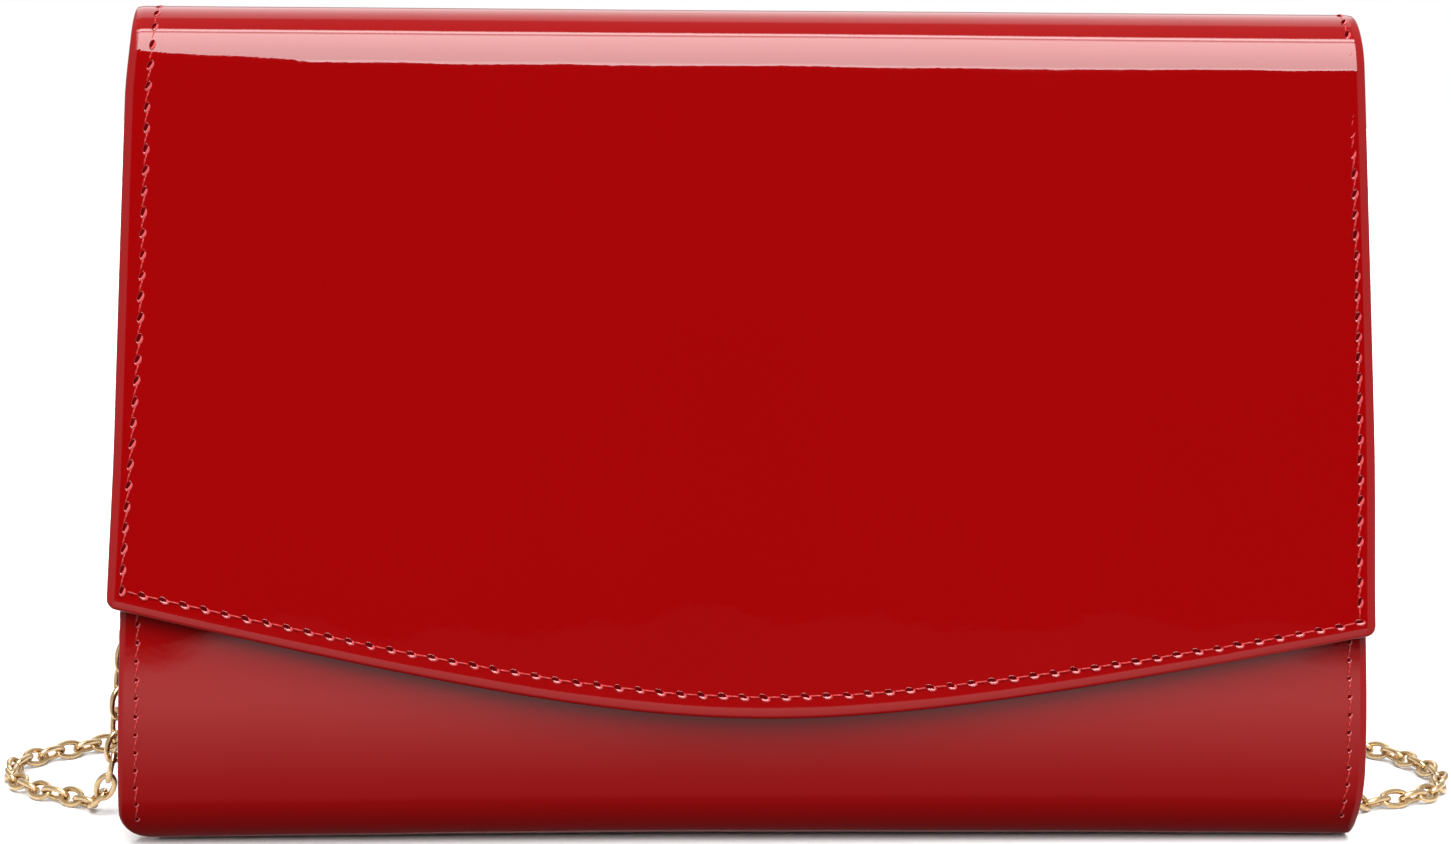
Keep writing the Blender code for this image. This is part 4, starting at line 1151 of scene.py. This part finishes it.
RIGHT_ROUTE = [
    (0.1150, 0.0056, 0.1159), (0.1160, 0.0057, 0.1000), (0.1186, 0.0061, 0.0780),
    (0.1222, 0.0068, 0.0540), (0.1252, 0.0074, 0.0310), (0.1272, 0.0080, 0.0150),
    (0.1296, 0.0092, 0.0055), (0.1334, 0.0118, LAID), (0.1390, 0.0146, LAID),
    (0.1448, 0.0168, LAID), (0.1502, 0.0215, LAID), (0.1540, 0.0295, LAID),
    (0.1550, 0.0390, LAID), (0.1532, 0.0480, LAID), (0.1495, 0.0570, LAID),
    (0.1430, 0.0650, LAID), (0.1320, 0.0710, LAID), (0.1120, 0.0742, LAID),
    (0.0850, 0.0745, LAID), (0.0500, 0.0735, LAID), (0.0200, 0.0725, LAID),
    (-0.0040, 0.0740, LAID), (-0.0212, 0.0790, LAID), (-0.0360, 0.0862, LAID),
]
COIL_ENTRY = 100
COIL_TURNING = 1480
COIL_LEAVING_RADIUS = 0.032
CHAIN_STEP = 0.0005
CHAIN_FIRST = 0.0008
DROP_ENDS_Z = 0.0170


def coil_route():
    """Just over four turns: out, in, up, and out again, each a chain's width from the last."""
    found = []
    for turn in range(0, COIL_TURNING + 1, 15):
        inward = smoothstep(300, 350, turn) - smoothstep(1020, 1070, turn)
        rise = smoothstep(660, 710, turn)
        leaving = smoothstep(COIL_TURNING - 60, COIL_TURNING, turn)
        falling = smoothstep(COIL_TURNING - 40, COIL_TURNING, turn)
        radius = COIL_OUT + (COIL_IN - COIL_OUT) * inward + (COIL_LEAVING_RADIUS - COIL_OUT) * leaving
        height = COIL_LOW + (COIL_HIGH - COIL_LOW) * (rise - falling)
        angle = radians(COIL_ENTRY - turn)
        found.append(COIL_CENTRE + Vector((radius * cos(angle), radius * sin(angle), height)))
    return found


def smooth_route(route, step):
    """Evenly spaced points on a smooth curve through every point of a route."""
    route = [Vector(p) for p in route]
    before = [route[0] * 2 - route[1]] + route[:-1]
    after = route[1:] + [route[-1] * 2 - route[-2]]
    fine = []
    for i in range(len(route) - 1):
        gap = (route[i + 1] - route[i]).length
        leave = (after[i] - before[i]).normalized() * gap / 3
        arrive = (after[i + 1] - before[i + 1]).normalized() * gap / 3
        piece = interpolate_bezier(route[i], route[i] + leave, route[i + 1] - arrive, route[i + 1], 24)
        fine += piece if not fine else piece[1:]
    lengths = running_lengths(fine)
    return [fine[i].lerp(fine[i + 1], share) for i, share in shared_out(lengths, round(lengths[-1] / step))]


def carried_normals(points):
    """Normals carried along the route without twist."""
    normals = []
    normal = Vector((0, 1, 0))
    for i in range(len(points)):
        along = (points[min(i + 1, len(points) - 1)] - points[max(i - 1, 0)]).normalized()
        normal = (normal - along * normal.dot(along)).normalized()
        normals.append(normal)
    return normals


def add_link(bm, middle, along, normal):
    """One oval wire link lying in the plane square to its normal."""
    across = along.cross(normal).normalized()
    turns, sides = 24, 10
    rows = []
    for i in range(turns):
        t = tau * (i + 0.5) / turns
        centre = middle + along * LINK_HALF_LENGTH * cos(t) + across * LINK_HALF_WIDTH * sin(t)
        away = (along * cos(t) / LINK_HALF_LENGTH + across * sin(t) / LINK_HALF_WIDTH).normalized()
        rows.append(ring(bm, centre, away * LINK_WIRE, normal * LINK_WIRE, sides))
    for a, b in zip(rows, rows[1:] + rows[:1]):
        bridge(bm, a, b)


def make_chain():
    route = LEFT_ROUTE + coil_route() + RIGHT_ROUTE[::-1]
    points = smooth_route(route, CHAIN_STEP)
    normals = carried_normals(points)
    rng = random.Random(5)
    total = (len(points) - 1) * CHAIN_STEP
    count = round((total - 2 * CHAIN_FIRST) / LINK_PITCH)
    count += count % 2
    pitch = (total - 2 * CHAIN_FIRST) / count
    places = []
    level = points_level(points, normals)
    for k in range(count + 1):
        i = min(round((CHAIN_FIRST + k * pitch) / total * (len(points) - 1)), len(points) - 1)
        along = (points[min(i + 4, len(points) - 1)] - points[max(i - 4, 0)]).normalized()
        normal = normals[i]
        loose = smoothstep(LAID + 0.004, 0.02, points[i].z)
        roll = level + radians(45 if k % 2 else 135) * (1 - loose) + radians(0 if k % 2 else 90) * loose
        roll += radians(rng.uniform(-9, 9)) * (1 - 0.6 * loose)
        turned = Matrix.Rotation(roll, 3, along) @ (normal - along * normal.dot(along)).normalized()
        places.append((i, points[i], along, turned))
    left_end = next(i for i, p in enumerate(points) if p.z < DROP_ENDS_Z)
    right_start = len(points) - 1 - next(i for i, p in enumerate(reversed(points)) if p.z < DROP_ENDS_Z)
    runs = {
        "left_chain_drop": (0, left_end),
        "strap_chain": (left_end, right_start),
        "right_chain_drop": (right_start, len(points) - 1),
    }
    made = {}
    for name, (a, b) in runs.items():
        bm = bmesh.new()
        for i, middle, along, normal in places:
            if a <= i < b or i == b == len(points) - 1:
                add_link(bm, middle, along, normal)
        path = [points[i] for i in range(a, b + 1, 4)] + [points[b]]
        made[name] = (new_object(name, bm, [CHAIN_GOLD]), path)
    for word, side in (("left", -1), ("right", 1)):
        piece, path = made[f"{word}_chain_drop"]
        if side > 0:
            path = path[::-1]
        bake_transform(piece)
        made[f"{word}_chain_drop"] = (piece, path)
    strap, path = made["strap_chain"]
    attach(strap, "bag_body")
    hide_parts("left_strap_chain", "right_strap_chain", "strap_chain_coil")
    for word in ("left", "right"):
        piece, path = made[f"{word}_chain_drop"]


def points_level(points, normals):
    """The roll that brings the carried normals upright where the chain lies on the floor."""
    i = next(k for k, p in enumerate(points) if abs(p.z - LAID) < 1e-5)
    along = (points[i + 20] - points[i + 16]).normalized()
    across = along.cross(normals[i + 18])
    up = Vector((0, 0, 1))
    return atan2(up.dot(across), up.dot(normals[i + 18]))


# ---- CAD nodes that stay

def finish_cad_nodes():
    for word in ("left", "right"):
        for part, made in (
            ("strap_ring", GOLD), ("snap_hook", GOLD), ("gate_pin", STEEL), ("hook_gate", GOLD),
            ("hook_swivel", GOLD), ("first_link", CHAIN_GOLD), ("ring_tab", PATENT_BACKED),
        ):
            assign(f"{word}_{part}", made)
    for name in ("snap_cup", "snap_stud", "snap_cup_washer", "snap_stud_washer"):
        assign(name, STEEL)
    assign("snap_magnet", MAGNET)


def assign(name, made):
    obj = bpy.data.objects[name]
    for slot in obj.material_slots:
        slot.link = "OBJECT"
        slot.material = made


# ---- stage, light and camera

def make_stage():
    mesh = bpy.data.meshes.new("floor")
    side, near, far = 3.0, 1.5, 4.0
    corners = [(-side, -near, 0), (side, -near, 0), (side, far, 0), (-side, far, 0)]
    mesh.from_pydata(corners, [], [(0, 1, 2, 3)])
    floor = bpy.data.objects.new("floor", mesh)
    bpy.context.scene.collection.objects.link(floor)
    mesh.materials.append(floor_paper())


FLOOR_FRONT, FLOOR_BACK = -0.008, 0.14


def floor_paper():
    """White paper; in front of the purse and far behind it, it is there for the camera only.

    Reflections there come from the studio.
    """
    made = plain_noise("floor_paper", (0.70, 0.70, 0.70), (0.69, 0.69, 0.69), 0.9, height=0.0, shine=0.0)
    tree = made.node_tree
    split = add_node(tree, "ShaderNodeSeparateXYZ", {0: positions(tree)})
    rays = tree.nodes.new("ShaderNodeLightPath")
    middle, reach = (FLOOR_BACK + FLOOR_FRONT) / 2, (FLOOR_BACK - FLOOR_FRONT) / 2
    near = maths(tree, "COMPARE", split.outputs["Y"], middle, reach)
    solid = maths(tree, "MAXIMUM", rays.outputs["Is Camera Ray"], near)
    clear = tree.nodes.new("ShaderNodeBsdfTransparent").outputs[0]
    paper = tree.nodes["Principled BSDF"].outputs[0]
    mixed = add_node(tree, "ShaderNodeMixShader", {0: solid, 1: clear, 2: paper})
    dress(tree, tree.nodes["Material Output"], {0: mixed.outputs[0]})
    return made


# The light from below the horizon in front, up over the top and down to it behind: (degrees, strength)
STUDIO_BANDS = [
    (-90, 0.004), (-50, 0.006), (-33, 0.022), (-22, 0.055), (-10, 0.095), (-3.2, 0.085), (-3.1, 0.004),
    (14.0, 0.004), (14.1, 0.98), (17.0, 0.80), (68, 1.0), (70, 0.35), (72, 0.35), (73, 1.15), (76, 1.15),
    (78, 0.03), (105, 0.03), (110, 0.11), (135, 0.15), (155, 0.13), (168, 0.02), (180, 0.01),
]


def make_world():
    """A studio round the object: a long softbox above the front, a pale backdrop and a dark room in front."""
    world = bpy.data.worlds.new("studio")
    bpy.context.scene.world = world
    world.use_nodes = True
    tree = world.node_tree
    where = tree.nodes.new("ShaderNodeTexCoord")
    split = add_node(tree, "ShaderNodeSeparateXYZ", {0: where.outputs["Generated"]})
    front = maths(tree, "MULTIPLY", split.outputs["Y"], -1.0)
    angle = maths(tree, "ARCTAN2", split.outputs["Z"], front)
    share = maths(tree, "MULTIPLY_ADD", angle, 0.5 / pi, 0.5)
    bands = ramp(tree, share, [((degrees / 180 + 1) / 2, (value,) * 3) for degrees, value in STUDIO_BANDS])
    aside = maths(tree, "ABSOLUTE", split.outputs["X"])
    window = to_range(tree, aside, 1.0, 0.0, (0.27, 0.36), "SMOOTHSTEP")
    lit = maths(tree, "MULTIPLY", maths(tree, "MULTIPLY", bands, window), SOFTBOX)

    # The softbox's lower edge, higher at its left end, with a slightly brighter rim
    low_edge = to_range(tree, split.outputs["X"], radians(34), radians(16.6), (-0.150, -0.085), "SMOOTHSTEP")
    above = maths(tree, "GREATER_THAN", angle, low_edge)
    inner = maths(tree, "GREATER_THAN", maths(tree, "SUBTRACT", angle, radians(0.9)), low_edge)
    rim = maths(tree, "MULTIPLY_ADD", maths(tree, "SUBTRACT", above, inner), 0.3, 1.0)
    below = maths(tree, "LESS_THAN", angle, 0.0)
    lit = maths(tree, "MULTIPLY", maths(tree, "MULTIPLY", lit, rim), maths(tree, "MAXIMUM", above, below))
    wings = maths(tree, "MULTIPLY", maths(tree, "SUBTRACT", 1.0, window), SIDE_LIGHT)
    total = maths(tree, "ADD", lit, wings)
    camera_ray = tree.nodes.new("ShaderNodeLightPath").outputs["Is Camera Ray"]
    shown = add_node(tree, "ShaderNodeMix", {0: camera_ray, 2: total, 3: 1.0}, data_type="FLOAT")
    dress(tree, tree.nodes["Background"], {"Strength": shown.outputs[0], "Color": (1, 1, 1, 1)})


SOFTBOX = 15.0
SIDE_LIGHT = 0.7
CAMERA_AT = (-0.0314, -0.6442, 0.1680)
CAMERA_YAW = radians(2.49)
CAMERA_PITCH = radians(7.37)
CAMERA_ROLL = radians(0.44)
SENSOR_MM, LENS_MM = 36.0, 79.45307


def make_camera():
    level = Vector((cos(CAMERA_YAW), -sin(CAMERA_YAW), 0))
    flat, drop = cos(CAMERA_PITCH), sin(CAMERA_PITCH)
    ahead = Vector((sin(CAMERA_YAW) * flat, cos(CAMERA_YAW) * flat, -drop))
    above = level.cross(ahead)
    right = level * cos(CAMERA_ROLL) + above * sin(CAMERA_ROLL)
    up = above * cos(CAMERA_ROLL) - level * sin(CAMERA_ROLL)
    data = bpy.data.cameras.new("camera")
    data.sensor_width = SENSOR_MM
    data.lens = LENS_MM
    data.clip_start = 0.01
    camera = bpy.data.objects.new("camera", data)
    camera.matrix_world = Matrix.Translation(CAMERA_AT) @ Matrix((right, up, -ahead)).transposed().to_4x4()
    bpy.context.scene.collection.objects.link(camera)
    bpy.context.scene.camera = camera


make_camera()
make_stage()
make_world()
bpy.context.scene.view_settings.view_transform = "Standard"
make_chain()
make_flap()
make_walls()
make_gusset("left", -1)
make_gusset("right", 1)
make_linings()
make_stitching()
finish_cad_nodes()
